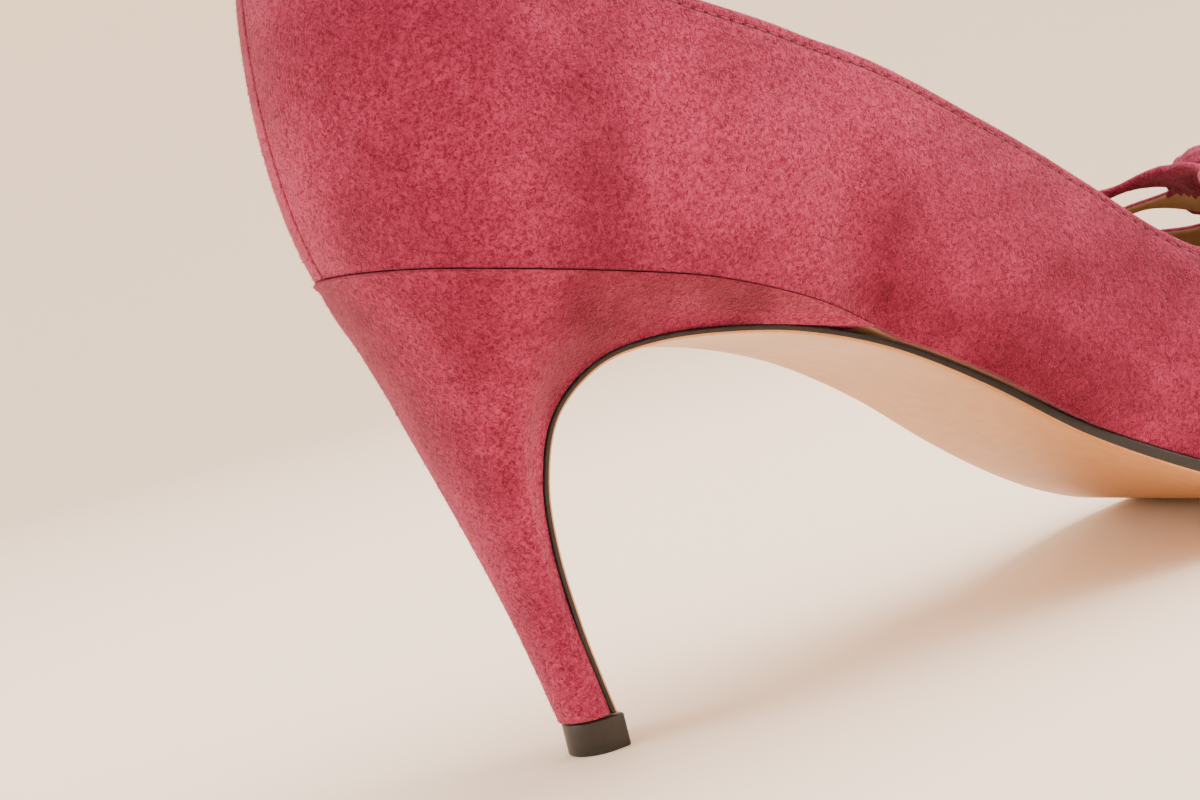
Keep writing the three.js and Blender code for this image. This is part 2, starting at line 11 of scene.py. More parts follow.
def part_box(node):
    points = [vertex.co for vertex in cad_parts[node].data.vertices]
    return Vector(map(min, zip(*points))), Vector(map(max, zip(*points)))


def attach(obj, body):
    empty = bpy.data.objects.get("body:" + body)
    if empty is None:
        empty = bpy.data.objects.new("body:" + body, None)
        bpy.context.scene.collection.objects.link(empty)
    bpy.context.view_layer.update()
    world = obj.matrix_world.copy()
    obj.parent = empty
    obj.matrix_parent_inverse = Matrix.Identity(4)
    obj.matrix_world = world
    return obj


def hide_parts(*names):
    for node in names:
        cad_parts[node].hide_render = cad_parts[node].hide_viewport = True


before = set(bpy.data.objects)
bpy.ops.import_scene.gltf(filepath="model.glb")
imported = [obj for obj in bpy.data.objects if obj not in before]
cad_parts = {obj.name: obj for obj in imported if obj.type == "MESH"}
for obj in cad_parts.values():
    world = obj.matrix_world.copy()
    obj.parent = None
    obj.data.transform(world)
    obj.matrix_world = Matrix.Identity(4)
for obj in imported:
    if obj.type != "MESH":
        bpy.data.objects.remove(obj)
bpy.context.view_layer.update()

bl_info = {
    "name": "Court shoe",
    "version": (1, 0, 0),
    "blender": (4, 5, 0),
    "location": "View3D > Sidebar > Shoe",
    "description": "Builds the visible pieces of a suede court shoe around its packed solids",
    "category": "Object",
}

# Sizes of the last in millimetres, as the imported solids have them. X runs from the rear of
# the counter to the toe, Y to the inner side of the foot, Z up from the floor.
LENGTH = 236.0
SEAT_HEIGHT = 76.8
BACK_HEIGHT = 54.0
INSTEP_HEIGHT = 62.0
BALL_HALF = 34.0
SEAT_HALF = 24.2
TOE_SPRING = 5.2
TOE_ROUND = 17.0
SEAT_ROUND = 22.0
COUNTER_BULGE = 8.0
TOE_BULGE = 3.2
WALL = 2.0
SOLE_THICK = 2.4
INSOLE_THICK = 1.6
SOLE_LIP = 1.0
EDGE_BEVEL = 0.35
GAP = 0.3
LIFT_HEIGHT = 5.0
LIFT_HALF = 4.9
LIFT_DEPTH = 7.6
LIFT_LIP = 0.8
WING_END = 78.5
SEAM_FADE = 10.0
HEEL_INSET = 0.45
WAIST_OVERHANG = 3.0
BASE_WINDOW = 9.0
FIRST_STRAP = 2.5
SECOND_STRAP = 3.5
FIRST_SLIT = 3.0
SECOND_SLIT = 4.8
KNOT_LENGTH = 22.0
KNOT_WIDTH = 17.0
KNOT_HEIGHT = 9.5
KNOT_SINK = 2.6
KNOT_BEHIND = 0.6
THROAT_X = LENGTH * 0.6865
THROAT_HALF = 16.0
THROAT_FALL = 8.2
SLIT_INNER = 3.4
SLIT_LENGTH = 17.0
FEATHER_BACK = 3.0
FEATHER_FRONT = LENGTH - SOLE_LIP
# Where forms start and end, as shares of the length
OVERHANG_STARTS = (0.26, 0.34)
OVERHANG_ENDS = (0.40, 0.54)
SEAT_TO_FORE = (0.30, 0.36)
STEEPEST = 0.4
METRE = 1000.0


def table(names, rows):
    columns = np.array(rows, float).T
    return {name: columns[k] for k, name in enumerate(names.split())}


SOLE = table("along up spring lateral medial thick", [
    (1.000, 0.000, 1.00, 0.350, 0.370, 1.00),
    (0.958, 0.000, 0.56, 0.515, 0.550, 1.00),
    (0.898, 0.000, 0.19, 0.706, 0.750, 1.00),
    (0.830, 0.000, 0.00, 0.876, 0.912, 1.00),
    (0.763, 0.000, 0.00, 0.970, 1.000, 1.00),
    (0.703, 0.006, 0.00, 0.976, 0.988, 1.00),
    (0.644, 0.044, 0.00, 0.930, 0.926, 1.00),
    (0.585, 0.116, 0.00, 0.859, 0.824, 1.00),
    (0.525, 0.214, 0.00, 0.770, 0.688, 0.95),
    (0.466, 0.333, 0.00, 0.670, 0.565, 0.85),
    (0.407, 0.480, 0.00, 0.594, 0.512, 0.72),
    (0.347, 0.602, 0.00, 0.544, 0.494, 0.60),
    (0.288, 0.680, 0.00, 0.515, 0.485, 0.55),
    (0.233, 0.721, 0.00, 0.494, 0.470, 0.50),
    (0.186, 0.737, 0.00, 0.447, 0.430, 0.48),
    (0.150, 0.721, 0.00, 0.388, 0.370, 0.45),
    (0.121, 0.651, 0.00, 0.318, 0.306, 0.42),
    (0.1085, 0.534, 0.00, 0.253, 0.244, 0.42),
    (0.107, 0.404, 0.00, 0.206, 0.203, 0.42),
    (0.112, 0.260, 0.00, 0.168, 0.168, 0.42),
    (0.118, 0.150, 0.00, 0.147, 0.147, 0.42),
    (0.1225, (LIFT_HEIGHT + GAP) / SEAT_HEIGHT, 0.00,
     LIFT_HALF / BALL_HALF, LIFT_HALF / BALL_HALF, 0.42),
])
LAST_SOLE_ROW = len(SOLE["along"]) - 1

SEAM = table("along up lateral medial", [
    (0.000, 1.013, 0.890, 0.890),
    (0.042, 0.981, 0.930, 0.925),
    (0.085, 0.944, 0.975, 0.960),
    (0.148, 0.896, 1.000, 0.980),
    (0.212, 0.842, 0.995, 0.965),
    (0.263, 0.781, 0.960, 0.915),
    (0.305, 0.718, 0.895, 0.835),
    (0.339, 0.651, 0.800, 0.740),
    (0.380, 0.540, 0.780, 0.720),
])

RIDGE = table("along up", [
    (0.190, 1.645), (0.297, 1.520), (0.381, 1.400), (0.466, 1.260), (0.534, 1.130),
    (0.614, 1.030), (0.682, 0.942), (0.742, 0.768), (0.805, 0.561), (0.869, 0.426),
])

TOPLINE = table("along up", [
    (0.000, 1.000), (0.064, 0.980), (0.127, 0.900), (0.191, 0.815), (0.246, 0.775),
    (0.314, 0.790), (0.373, 0.830), (0.426, 0.840), (0.477, 0.845), (0.521, 0.805),
    (0.568, 0.725), (0.602, 0.720), (0.631, 0.870), (0.6525, 1.005), (0.674, 1.045), (0.690, 1.110),
])

BODY = table("along lateral medial", [
    (0.00, 0.860, 0.850), (0.10, 0.890, 0.880), (0.20, 0.900, 0.885), (0.30, 0.880, 0.855),
    (0.40, 0.870, 0.825), (0.46, 0.885, 0.835), (0.52, 0.930, 0.880), (0.60, 1.030, 1.010),
    (0.68, 1.110, 1.120), (0.76, 1.105, 1.135), (0.84, 0.980, 1.020), (0.90, 0.820, 0.860),
    (0.96, 0.640, 0.670), (1.00, 0.520, 0.540),
])

RIB = table("along rise hold lean", [
    (0.000, 0.403, 0.845, 0.0), (0.127, 0.419, 0.800, 0.0), (0.254, 0.419, 0.720, 0.0),
    (0.400, 0.419, 0.635, 0.1), (0.508, 0.403, 0.580, 0.6), (0.636, 0.339, 0.540, 1.0),
    (0.763, 0.290, 0.530, 1.0), (0.890, 0.242, 0.540, 1.0), (1.000, 0.218, 0.560, 1.0),
])

HEEL = table("back_x back_z front half round bend", [
    (0.985, (LIFT_HEIGHT + GAP) / SEAT_HEIGHT, LAST_SOLE_ROW, LIFT_HALF / SEAT_HALF, 0.80, 0.0),
    (0.880, 0.234, 19.0, 0.245, 0.74, 0.0),
    (0.800, 0.340, 18.4, 0.293, 0.70, 0.0),
    (0.715, 0.443, 17.8, 0.360, 0.66, 0.0),
    (0.610, 0.560, 17.0, 0.455, 0.62, 0.0),
    (0.510, 0.665, 16.1, 0.575, 0.58, 0.0),
    (0.412, 0.765, 15.2, 0.700, 0.55, 0.05),
    (0.310, 0.857, 14.1, 0.815, 0.48, 0.20),
    (0.205, 0.935, 12.8, 0.905, 0.38, 0.50),
])

SIDES = (-1, 1)


# Curve helpers
def mix(a, b, t):
    return a + (b - a) * t


def ease(t):
    s = np.clip(t, 0.0, 1.0)
    return s * s * (3 - 2 * s)


def round_end(distance, radius):
    t = 1 - np.clip(np.asarray(distance, float) / radius, 0.0, 1.0)
    return np.sqrt(1 - t * t)


def side_key(side):
    return "lateral" if side < 0 else "medial"


def table_at(rows, key, along):
    xs = rows["along"]
    ys = rows[key]
    count = len(xs)
    before = np.maximum(np.arange(count) - 1, 0)
    after = np.minimum(np.arange(count) + 1, count - 1)
    slopes = (ys[after] - ys[before]) / (xs[after] - xs[before])
    along = np.asarray(along, float)
    i = np.clip(np.searchsorted(xs, along, side="left") - 1, 0, count - 2)
    span = xs[i + 1] - xs[i]
    t = np.clip((along - xs[i]) / span, 0.0, 1.0)
    t2 = t * t
    t3 = t2 * t
    return ((2 * t3 - 3 * t2 + 1) * ys[i] + (t3 - 2 * t2 + t) * span * slopes[i]
            + (3 * t2 - 2 * t3) * ys[i + 1] + (t3 - t2) * span * slopes[i + 1])


def catmull(values, place):
    """Smooth curve through rows of values, by place in rows."""
    place = np.asarray(place, float)
    last = len(values) - 1
    i = np.minimum(np.floor(place).astype(int), last - 1)
    t = place - i
    if values.ndim > 1:
        t = t.reshape(t.shape + (1,) * (values.ndim - 1))
    a = values[np.clip(i - 1, 0, last)]
    b = values[np.clip(i, 0, last)]
    c = values[np.clip(i + 1, 0, last)]
    d = values[np.clip(i + 2, 0, last)]
    return b + 0.5 * t * (c - a + t * (2 * a - 5 * b + 4 * c - d + t * (3 * (b - c) + d - a)))


def unit(v):
    return v / np.maximum(np.linalg.norm(v, axis=-1, keepdims=True), 1e-9)


def stack(*parts):
    return np.stack(np.broadcast_arrays(*[np.asarray(p, float) for p in parts]), axis=-1)


# Sole line, feather line and ridge
def sole_line(place):
    x = LENGTH * catmull(SOLE["along"], place)
    z = SEAT_HEIGHT * catmull(SOLE["up"], place) + TOE_SPRING * catmull(SOLE["spring"], place)
    return stack(x, np.maximum(z, 0.0))


def sole_normal(place):
    step = 0.02
    a = sole_line(np.maximum(np.asarray(place, float) - step, 0.0))
    b = sole_line(np.minimum(np.asarray(place, float) + step, LAST_SOLE_ROW))
    along = unit(b - a)
    return stack(along[..., 1], -along[..., 0])


def sole_depth(place):
    return SOLE_THICK * catmull(SOLE["thick"], place)


def sole_half(side, place):
    end = round_end(LENGTH + SOLE_LIP - sole_line(place)[..., 0], TOE_ROUND)
    return BALL_HALF * catmull(SOLE[side_key(side)], place) * end


WALK = np.linspace(0.0, 14.0, 2801)
WALK_X = sole_line(WALK)[:, 0]


def place_of(x):
    return np.interp(x, WALK_X[::-1], WALK[::-1])


def sole_top(x):
    place = place_of(x)
    return sole_line(place)[..., 1] + sole_depth(place) / np.maximum(sole_normal(place)[..., 1], STEEPEST)


def seam_height(x):
    return SEAT_HEIGHT * table_at(SEAM, "up", np.asarray(x) / LENGTH)


def feather_height(x):
    board = sole_top(x) + GAP
    return np.where(np.asarray(x) < WING_END + SEAM_FADE, np.maximum(seam_height(x), board), board)


def share_between(x, low, high):
    return ease((x / LENGTH - low) / (high - low))


def overhang(x):
    return WAIST_OVERHANG * share_between(x, *OVERHANG_STARTS) * (1 - share_between(x, *OVERHANG_ENDS))


BASE_X = np.linspace(-10.0, LENGTH + 10.0, 1025)
BASE_Z = np.mean([feather_height(BASE_X + BASE_WINDOW * k / 3) for k in range(-3, 4)], axis=0)


def base_height(x):
    return np.interp(x, BASE_X, BASE_Z)


def feather_half(side, x):
    key = side_key(side)
    seat = SEAT_HALF * table_at(SEAM, key, x / LENGTH) * round_end(x - FEATHER_BACK, SEAT_ROUND)
    fore = BALL_HALF * catmull(SOLE[key], place_of(x)) - SOLE_LIP + overhang(x)
    share = share_between(x, *SEAT_TO_FORE)
    return mix(seat, fore, share) * round_end(FEATHER_FRONT - x, TOE_ROUND - SOLE_LIP)


def ridge_height(x):
    return base_height(x) + INSTEP_HEIGHT * table_at(RIDGE, "up", np.asarray(x) / LENGTH)


def topline_height(x):
    return base_height(x) + BACK_HEIGHT * table_at(TOPLINE, "up", np.asarray(x) / LENGTH)


def ribs(side, turns):
    """Control points of the last's ribs, from feather line over the fullest outline to the ridge."""
    swing = (1 - np.cos(np.pi * turns)) / 2
    x = mix(FEATHER_BACK, FEATHER_FRONT, swing)
    along = x / LENGTH
    inside = (turns > 0) & (turns < 1)
    foot = stack(x, np.where(inside, side * feather_half(side, x), 0.0), feather_height(x))
    ridge_x = LENGTH * mix(RIDGE["along"][0], RIDGE["along"][-1], swing)
    ridge = stack(ridge_x, 0.0, ridge_height(ridge_x))
    back = FEATHER_BACK - COUNTER_BULGE
    front = FEATHER_FRONT + TOE_BULGE
    body_x = mix(back, front, swing)
    ends = (round_end(body_x - back, SEAT_ROUND + COUNTER_BULGE)
            * round_end(front - body_x, TOE_ROUND + TOE_BULGE))
    body_y = side * BALL_HALF * table_at(BODY, side_key(side), body_x / LENGTH) * ends
    wall = stack(body_x, np.where(inside, body_y, 0.0),
                 base_height(x) + INSTEP_HEIGHT * table_at(RIB, "rise", along))
    hold = table_at(RIB, "hold", along)[:, None]
    crown = mix(ridge, stack(wall[:, 0], wall[:, 1], ridge[:, 2]), hold)
    slope = ridge_height(ridge_x) - ridge_height(ridge_x - 1)
    crown[:, 2] += table_at(RIB, "lean", along) * slope * (crown[:, 0] - ridge_x)
    return np.stack([foot, wall, crown, ridge], axis=1)


def on_rib(rib, t):
    """Points of ribs (n, 4, 3) at t (n, m)."""
    t = t[..., None]
    s = 1 - t
    p = rib[:, :, None, :]
    return s ** 3 * p[:, 0] + 3 * s * s * t * p[:, 1] + 3 * s * t * t * p[:, 2] + t ** 3 * p[:, 3]


def tops_of(rib):
    low = np.full(len(rib), 0.1)
    high = np.ones(len(rib))

    def over(t):
        p = on_rib(rib, t[:, None])[:, 0]
        return p[:, 2] - topline_height(p[:, 0])

    closed = (rib[:, 3, 0] >= THROAT_X) | (over(high) < 0)
    for _ in range(34):
        middle = (low + high) / 2
        under = over(middle) < 0
        low = np.where(under, middle, low)
        high = np.where(under, high, middle)
    return np.where(closed, 1.0, low), closed


# Slits between the straps: crescents in plan, beside the throat's topline
def slits():
    inner = SLIT_INNER
    first = FIRST_STRAP + FIRST_SLIT / 2
    second = FIRST_STRAP + FIRST_SLIT + SECOND_STRAP + SECOND_SLIT / 2
    outer = inner + SLIT_LENGTH
    return [(first, inner, outer, FIRST_SLIT), (second, inner, outer, SECOND_SLIT)]


def slit_field(points, side, slit, margin):
    """How far a point is outside a slit, in plan, less the room that the folded edge takes."""
    behind, inner, outer, width = slit
    across = side * points[:, 1]
    middle = THROAT_X + behind - THROAT_FALL * (across / THROAT_HALF) ** 2
    slope = 2 * THROAT_FALL * across / THROAT_HALF ** 2
    off = np.abs(points[:, 0] - middle) / np.sqrt(1 + slope ** 2)
    share = np.clip((across - inner + margin) / (outer - inner + 2 * margin), 0.0, 1.0)
    half = (width / 2 + margin) * np.sin(np.pi * share) ** 0.7
    past = np.maximum(np.maximum(inner - margin - across, across - outer - margin), 0.0)
    return np.where(past > 0, past + off, off - half)


class ShoeSizes(bpy.types.PropertyGroup):
    """Sizes that a user would change."""
    fold: bpy.props.FloatProperty(
        name="Folded edge", description="Thickness of the folded topline and strap edges",
        default=0.0015, unit="LENGTH")
    stitch_pitch: bpy.props.FloatProperty(
        name="Stitch pitch", description="Length of one stitch with its hole",
        default=0.0022, unit="LENGTH")
    thread: bpy.props.FloatProperty(
        name="Thread", description="Diameter of the sewing thread", default=0.00036, unit="LENGTH")
    nap: bpy.props.FloatProperty(
        name="Nap", description="Length of the longest suede fibres", default=0.00075, unit="LENGTH")
    upper_fibres: bpy.props.IntProperty(
        name="Upper fibres", description="Loose fibres on the upper", default=44000)
    heel_fibres: bpy.props.IntProperty(
        name="Heel fibres", description="Loose fibres on the heel", default=14000)
    knot_fibres: bpy.props.IntProperty(
        name="Knot fibres", description="Loose fibres on the knot", default=2400)


class ShoeColours(bpy.types.PropertyGroup):
    """Colours that a user would change."""
    suede: bpy.props.FloatVectorProperty(
        name="Suede", description="Raised nap", subtype="COLOR", size=3, default=(0.375, 0.032, 0.102))
    # Also the dark end of the shade painted by height, in the stitch groove, at the back seam and in the
    # needle holes.
    suede_deep: bpy.props.FloatVectorProperty(
        name="Suede, laid down", description="Nap that lies flat", subtype="COLOR", size=3,
        default=(0.185, 0.0105, 0.035))
    lining: bpy.props.FloatVectorProperty(
        name="Lining", description="Lining leather", subtype="COLOR", size=3, default=(0.42, 0.25, 0.13))
    sole: bpy.props.FloatVectorProperty(
        name="Sole", description="Sole leather", subtype="COLOR", size=3, default=(0.62, 0.29, 0.095))
    edge: bpy.props.FloatVectorProperty(
        name="Edge", description="Painted sole edge", subtype="COLOR", size=3,
        default=(0.012, 0.009, 0.009))
    rubber: bpy.props.FloatVectorProperty(
        name="Top piece", description="Rubber of the top piece", subtype="COLOR", size=3,
        default=(0.012, 0.010, 0.009))


class StageSettings(bpy.types.PropertyGroup):
    """Floor and light."""
    floor: bpy.props.FloatVectorProperty(
        name="Floor", description="Colour of floor and backdrop", subtype="COLOR", size=3,
        default=(0.93, 0.785, 0.63))
    world: bpy.props.FloatProperty(
        name="World", description="Strength of the even light", default=1.30)
    top: bpy.props.FloatProperty(
        name="Top light", description="Power of the large light above, in watts", default=20.0)
    side: bpy.props.FloatProperty(
        name="Side light", description="Power of the light on the toe's side, in watts", default=6.0)
    rim: bpy.props.FloatProperty(
        name="Rim light", description="Power of the light behind the heel, in watts", default=5.0)


# Materials
def link(tree, source, target):
    tree.links.new(source, target)


def node(tree, kind, **values):
    made = tree.nodes.new(kind)
    for name, value in values.items():
        setattr(made, name, value)
    return made


def give(tree, value, target):
    """Sets a socket to a number or colour, or links another node's output to it."""
    if isinstance(value, (int, float)):
        target.default_value = value
    elif isinstance(value, tuple):
        target.default_value = (*value, 1.0)
    else:
        link(tree, value, target)


def maths(tree, operation, a, b, clamp=False):
    made = node(tree, "ShaderNodeMath", operation=operation, use_clamp=clamp)
    give(tree, a, made.inputs[0])
    give(tree, b, made.inputs[1])
    return made.outputs[0]


def spread(tree, value, low, high, to_low=0.0, to_high=1.0):
    made = node(tree, "ShaderNodeMapRange")
    for name, given in (("Value", value), ("From Min", low), ("From Max", high),
                        ("To Min", to_low), ("To Max", to_high)):
        give(tree, given, made.inputs[name])
    return made.outputs["Result"]


def noise(tree, vector, scale, detail=2.0, rough=0.5, distortion=0.0):
    made = node(tree, "ShaderNodeTexNoise")
    give(tree, vector, made.inputs["Vector"])
    give(tree, scale, made.inputs["Scale"])
    give(tree, detail, made.inputs["Detail"])
    give(tree, rough, made.inputs["Roughness"])
    give(tree, distortion, made.inputs["Distortion"])
    return made.outputs["Fac"]


def blend_colours(tree, share, a, b):
    made = node(tree, "ShaderNodeMix", data_type="RGBA", blend_type="MIX")
    for name, value in (("Factor", share), ("A", a), ("B", b)):
        give(tree, value, next(s for s in made.inputs if s.name == name and s.enabled))
    return next(s for s in made.outputs if s.enabled)


def effect_group(name, inputs, outputs):
    """A node group with its sockets, its two ends and the place on the object, or the one made before."""
    tree = bpy.data.node_groups.get(name)
    if tree:
        return tree, None, None, None
    tree = bpy.data.node_groups.new(name, "ShaderNodeTree")
    for key, default in inputs.items():
        made = tree.interface.new_socket(name=key, in_out="INPUT", socket_type="NodeSocketFloat")
        made.default_value = default
    for key in outputs:
        tree.interface.new_socket(name=key, in_out="OUTPUT", socket_type="NodeSocketFloat")
    given = node(tree, "NodeGroupInput")
    result = node(tree, "NodeGroupOutput")
    return tree, given, result, node(tree, "ShaderNodeTexCoord").outputs["Object"]


def weighted(tree, a, b, share):
    """Two values added, the first with 1 - share and the second with share."""
    return maths(tree, "ADD", maths(tree, "MULTIPLY", a, 1 - share), maths(tree, "MULTIPLY", b, share))


def nap_group():
    """Flecks of raised suede fibre and the larger patches where the nap lies differently."""
    tree, given, result, place = effect_group("suede_nap", {"Fleck size": 0.0006, "Patch size": 0.03},
                                              ("Fleck", "Patch", "Height"))
    if given is None:
        return tree
    fleck_scale = maths(tree, "DIVIDE", 1.0, given.outputs["Fleck size"])
    patch_scale = maths(tree, "DIVIDE", 1.0, given.outputs["Patch size"])
    coarse = noise(tree, place, fleck_scale, detail=2.0, rough=0.62, distortion=0.9)
    fine = noise(tree, place, maths(tree, "MULTIPLY", fleck_scale, 2.7), detail=1.0, rough=0.6)
    fleck = weighted(tree, coarse, fine, 0.32)
    wide = noise(tree, place, patch_scale, detail=1.5, rough=0.5, distortion=0.5)
    small = noise(tree, place, maths(tree, "MULTIPLY", patch_scale, 4.3), detail=2.0, rough=0.6)
    patch = weighted(tree, wide, small, 0.28)
    link(tree, spread(tree, fleck, 0.37, 0.63), result.inputs["Fleck"])
    link(tree, spread(tree, patch, 0.36, 0.64), result.inputs["Patch"])
    link(tree, fleck, result.inputs["Height"])
    return tree


def leather_group():
    """Fine pores and clouding of smooth leather."""
    tree, given, result, place = effect_group("smooth_leather", {"Pore size": 0.0005}, ("Tone", "Height"))
    if given is None:
        return tree
    pore_scale = maths(tree, "DIVIDE", 1.0, given.outputs["Pore size"])
    cells = node(tree, "ShaderNodeTexVoronoi", feature="SMOOTH_F1")
    link(tree, place, cells.inputs["Vector"])
    link(tree, pore_scale, cells.inputs["Scale"])
    grain = noise(tree, place, maths(tree, "MULTIPLY", pore_scale, 0.35), detail=3.0, rough=0.6)
    cloud = noise(tree, place, maths(tree, "MULTIPLY", pore_scale, 0.012), detail=3.0, rough=0.55)
    tone = weighted(tree, cloud, grain, 0.3)
    link(tree, spread(tree, tone, 0.35, 0.65), result.inputs["Tone"])
    link(tree, maths(tree, "ADD", cells.outputs["Distance"], grain), result.inputs["Height"])
    return tree


def new_material(name):
    old = bpy.data.materials.get(name)
    if old:
        return old, None, None
    made = bpy.data.materials.new(name)
    made.use_nodes = True
    tree = made.node_tree
    return made, tree, tree.nodes["Principled BSDF"]


def bumped(tree, height, shader, strength, distance):
    bump = node(tree, "ShaderNodeBump")
    bump.inputs["Strength"].default_value = strength
    bump.inputs["Distance"].default_value = distance
    link(tree, height, bump.inputs["Height"])
    link(tree, bump.outputs["Normal"], shader.inputs["Normal"])


FLECK = 0.00062


def tinted(colour, share):
    return tuple(share * c for c in colour)


def suede_material(name, raised, laid, patch_size=0.03, crease=True, painted_light_by_height=None):
    """Suede whose nap colour leans to laid or raised by height, as painted light and shade: the last
    argument gives low and high z, and the shares added there.
    """
    made, tree, shader = new_material(name)
    if tree is None:
        return made
    nap = node(tree, "ShaderNodeGroup", node_tree=nap_group())
    nap.inputs["Fleck size"].default_value = FLECK
    nap.inputs["Patch size"].default_value = patch_size
    dark = tinted(laid, 0.50)
    laid_nap = blend_colours(tree, nap.outputs["Fleck"], dark, laid)
    light = tuple(min(1.0, 1.35 * c + 0.012) for c in raised)
    raised_nap = blend_colours(tree, nap.outputs["Fleck"], laid, light)
    share = spread(tree, nap.outputs["Patch"], 0.0, 1.0, 0.25, 0.95)
    # Painted light and shade: the share of raised nap goes up or down with height.
    if painted_light_by_height:
        apart = node(tree, "ShaderNodeSeparateXYZ")
        link(tree, node(tree, "ShaderNodeTexCoord").outputs["Object"], apart.inputs[0])
        share = maths(tree, "ADD", share, spread(tree, apart.outputs["Z"], *painted_light_by_height), clamp=True)
    colour = blend_colours(tree, share, laid_nap, raised_nap)
    # Painted shade: the nap is darkened in the stitch groove and at the back seam, where the marks lie.
    if crease:
        mark = node(tree, "ShaderNodeAttribute", attribute_name="crease")
        colour = blend_colours(tree, mark.outputs["Fac"], colour, tinted(laid, 0.22))
    link(tree, colour, shader.inputs["Base Color"])
    shader.inputs["Roughness"].default_value = 0.96
    shader.inputs["Specular IOR Level"].default_value = 0.12
    shader.inputs["Sheen Weight"].default_value = 0.30
    shader.inputs["Sheen Roughness"].default_value = 0.42
    shader.inputs["Sheen Tint"].default_value = (1.0, 0.50, 0.60, 1.0)
    bumped(tree, nap.outputs["Height"], shader, 0.9, 0.0006)
    return made


def leather_material(name, colour, deep, pore=0.0005, rough=0.55, coat=0.0, bump=0.00006):
    made, tree, shader = new_material(name)
    if tree is None:
        return made
    grain = node(tree, "ShaderNodeGroup", node_tree=leather_group())
    grain.inputs["Pore size"].default_value = pore
    link(tree, blend_colours(tree, grain.outputs["Tone"], deep, colour), shader.inputs["Base Color"])
    link(tree, spread(tree, grain.outputs["Tone"], 0.0, 1.0, rough + 0.08, rough - 0.06),
         shader.inputs["Roughness"])
    shader.inputs["Specular IOR Level"].default_value = 0.4
    shader.inputs["Coat Weight"].default_value = coat
    shader.inputs["Coat Roughness"].default_value = 0.35
    bumped(tree, grain.outputs["Height"], shader, 0.5, bump)
    return made


def thread_material(name, colour):
    made, tree, shader = new_material(name)
    if tree is None:
        return made
    place = node(tree, "ShaderNodeTexCoord").outputs["Object"]
    twist = noise(tree, place, 4200.0, detail=1.0)
    strand = blend_colours(tree, spread(tree, twist, 0.35, 0.65), tinted(colour, 0.55), colour)
    link(tree, strand, shader.inputs["Base Color"])
    shader.inputs["Roughness"].default_value = 0.75
    bumped(tree, twist, shader, 0.5, 0.0001)
    return made


def settings():
    scene = bpy.context.scene
    return scene.shoe_sizes, scene.shoe_colours, scene.shoe_stage


def upper_suede():
    colours = settings()[1]
    # Painted shade on the lower upper and painted light towards the topline, by height.
    return suede_material("upper_suede_nap", tuple(colours.suede), tuple(colours.suede_deep),
                          painted_light_by_height=(0.05, 0.125, -0.24, 0.12))


def heel_suede():
    colours = settings()[1]
    # Painted light low on the heel and painted shade towards its top, by height.
    return suede_material("heel_suede_nap", tuple(colours.suede), tuple(colours.suede_deep),
                          patch_size=0.022, painted_light_by_height=(0.015, 0.065, 0.50, -0.34))


def knot_suede():
    colours = settings()[1]
    return suede_material("knot_suede_nap", tinted(colours.suede, 0.98), tuple(colours.suede_deep),
                          patch_size=0.014)


def fibre_suede(name, share):
    colours = settings()[1]
    raised = tinted(colours.suede, share)
    laid = tuple(0.5 * (a + b) for a, b in zip(colours.suede, colours.suede_deep))
    return suede_material(name, raised, laid, crease=False)


def lining_leather():
    lining = settings()[1].lining
    return leather_material("lining_smooth", tuple(lining), tinted(lining, 0.62), rough=0.6)


def sock_leather():
    lining = settings()[1].lining
    return leather_material("sock_smooth", tuple(lining), tinted(lining, 0.7), rough=0.55)


def sole_leathers():
    """Smooth underside, painted edge and the raw corner between them."""
    tan = settings()[1].sole
    paint = settings()[1].edge
    return [
        leather_material("sole_smooth", tuple(tan), tinted(tan, 0.80), pore=0.0009, rough=0.42, coat=0.12),
        leather_material("sole_edge_paint", tuple(paint), tinted(paint, 0.6), pore=0.0004, rough=0.5,
                         bump=0.00012),
        leather_material("sole_corner_raw", tinted(tan, 1.05), tinted(tan, 0.7), pore=0.0004, rough=0.7),
    ]


def lift_rubber():
    rubber = settings()[1].rubber
    return leather_material("lift_rubber_matt", tinted(rubber, 1.5), tuple(rubber), pore=0.0003, rough=0.38,
                            bump=0.00004)


def stitch_threads():
    colours = settings()[1]
    # The second material is a near black that stands in for the shade inside the needle holes.
    return [thread_material("sewing_thread", tinted(colours.suede, 0.75)),
            thread_material("needle_holes", tinted(colours.suede_deep, 0.12))]


# Meshes
ORIGIN_X = LENGTH * SOLE["along"][-1] + LIFT_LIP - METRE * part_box("top_piece")[1][0]
ORIGIN_Y = -METRE * (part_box("top_piece")[0][1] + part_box("top_piece")[1][1]) / 2


def to_metres(points):
    return (np.asarray(points, float) - np.array([ORIGIN_X, ORIGIN_Y, 0.0])) / METRE


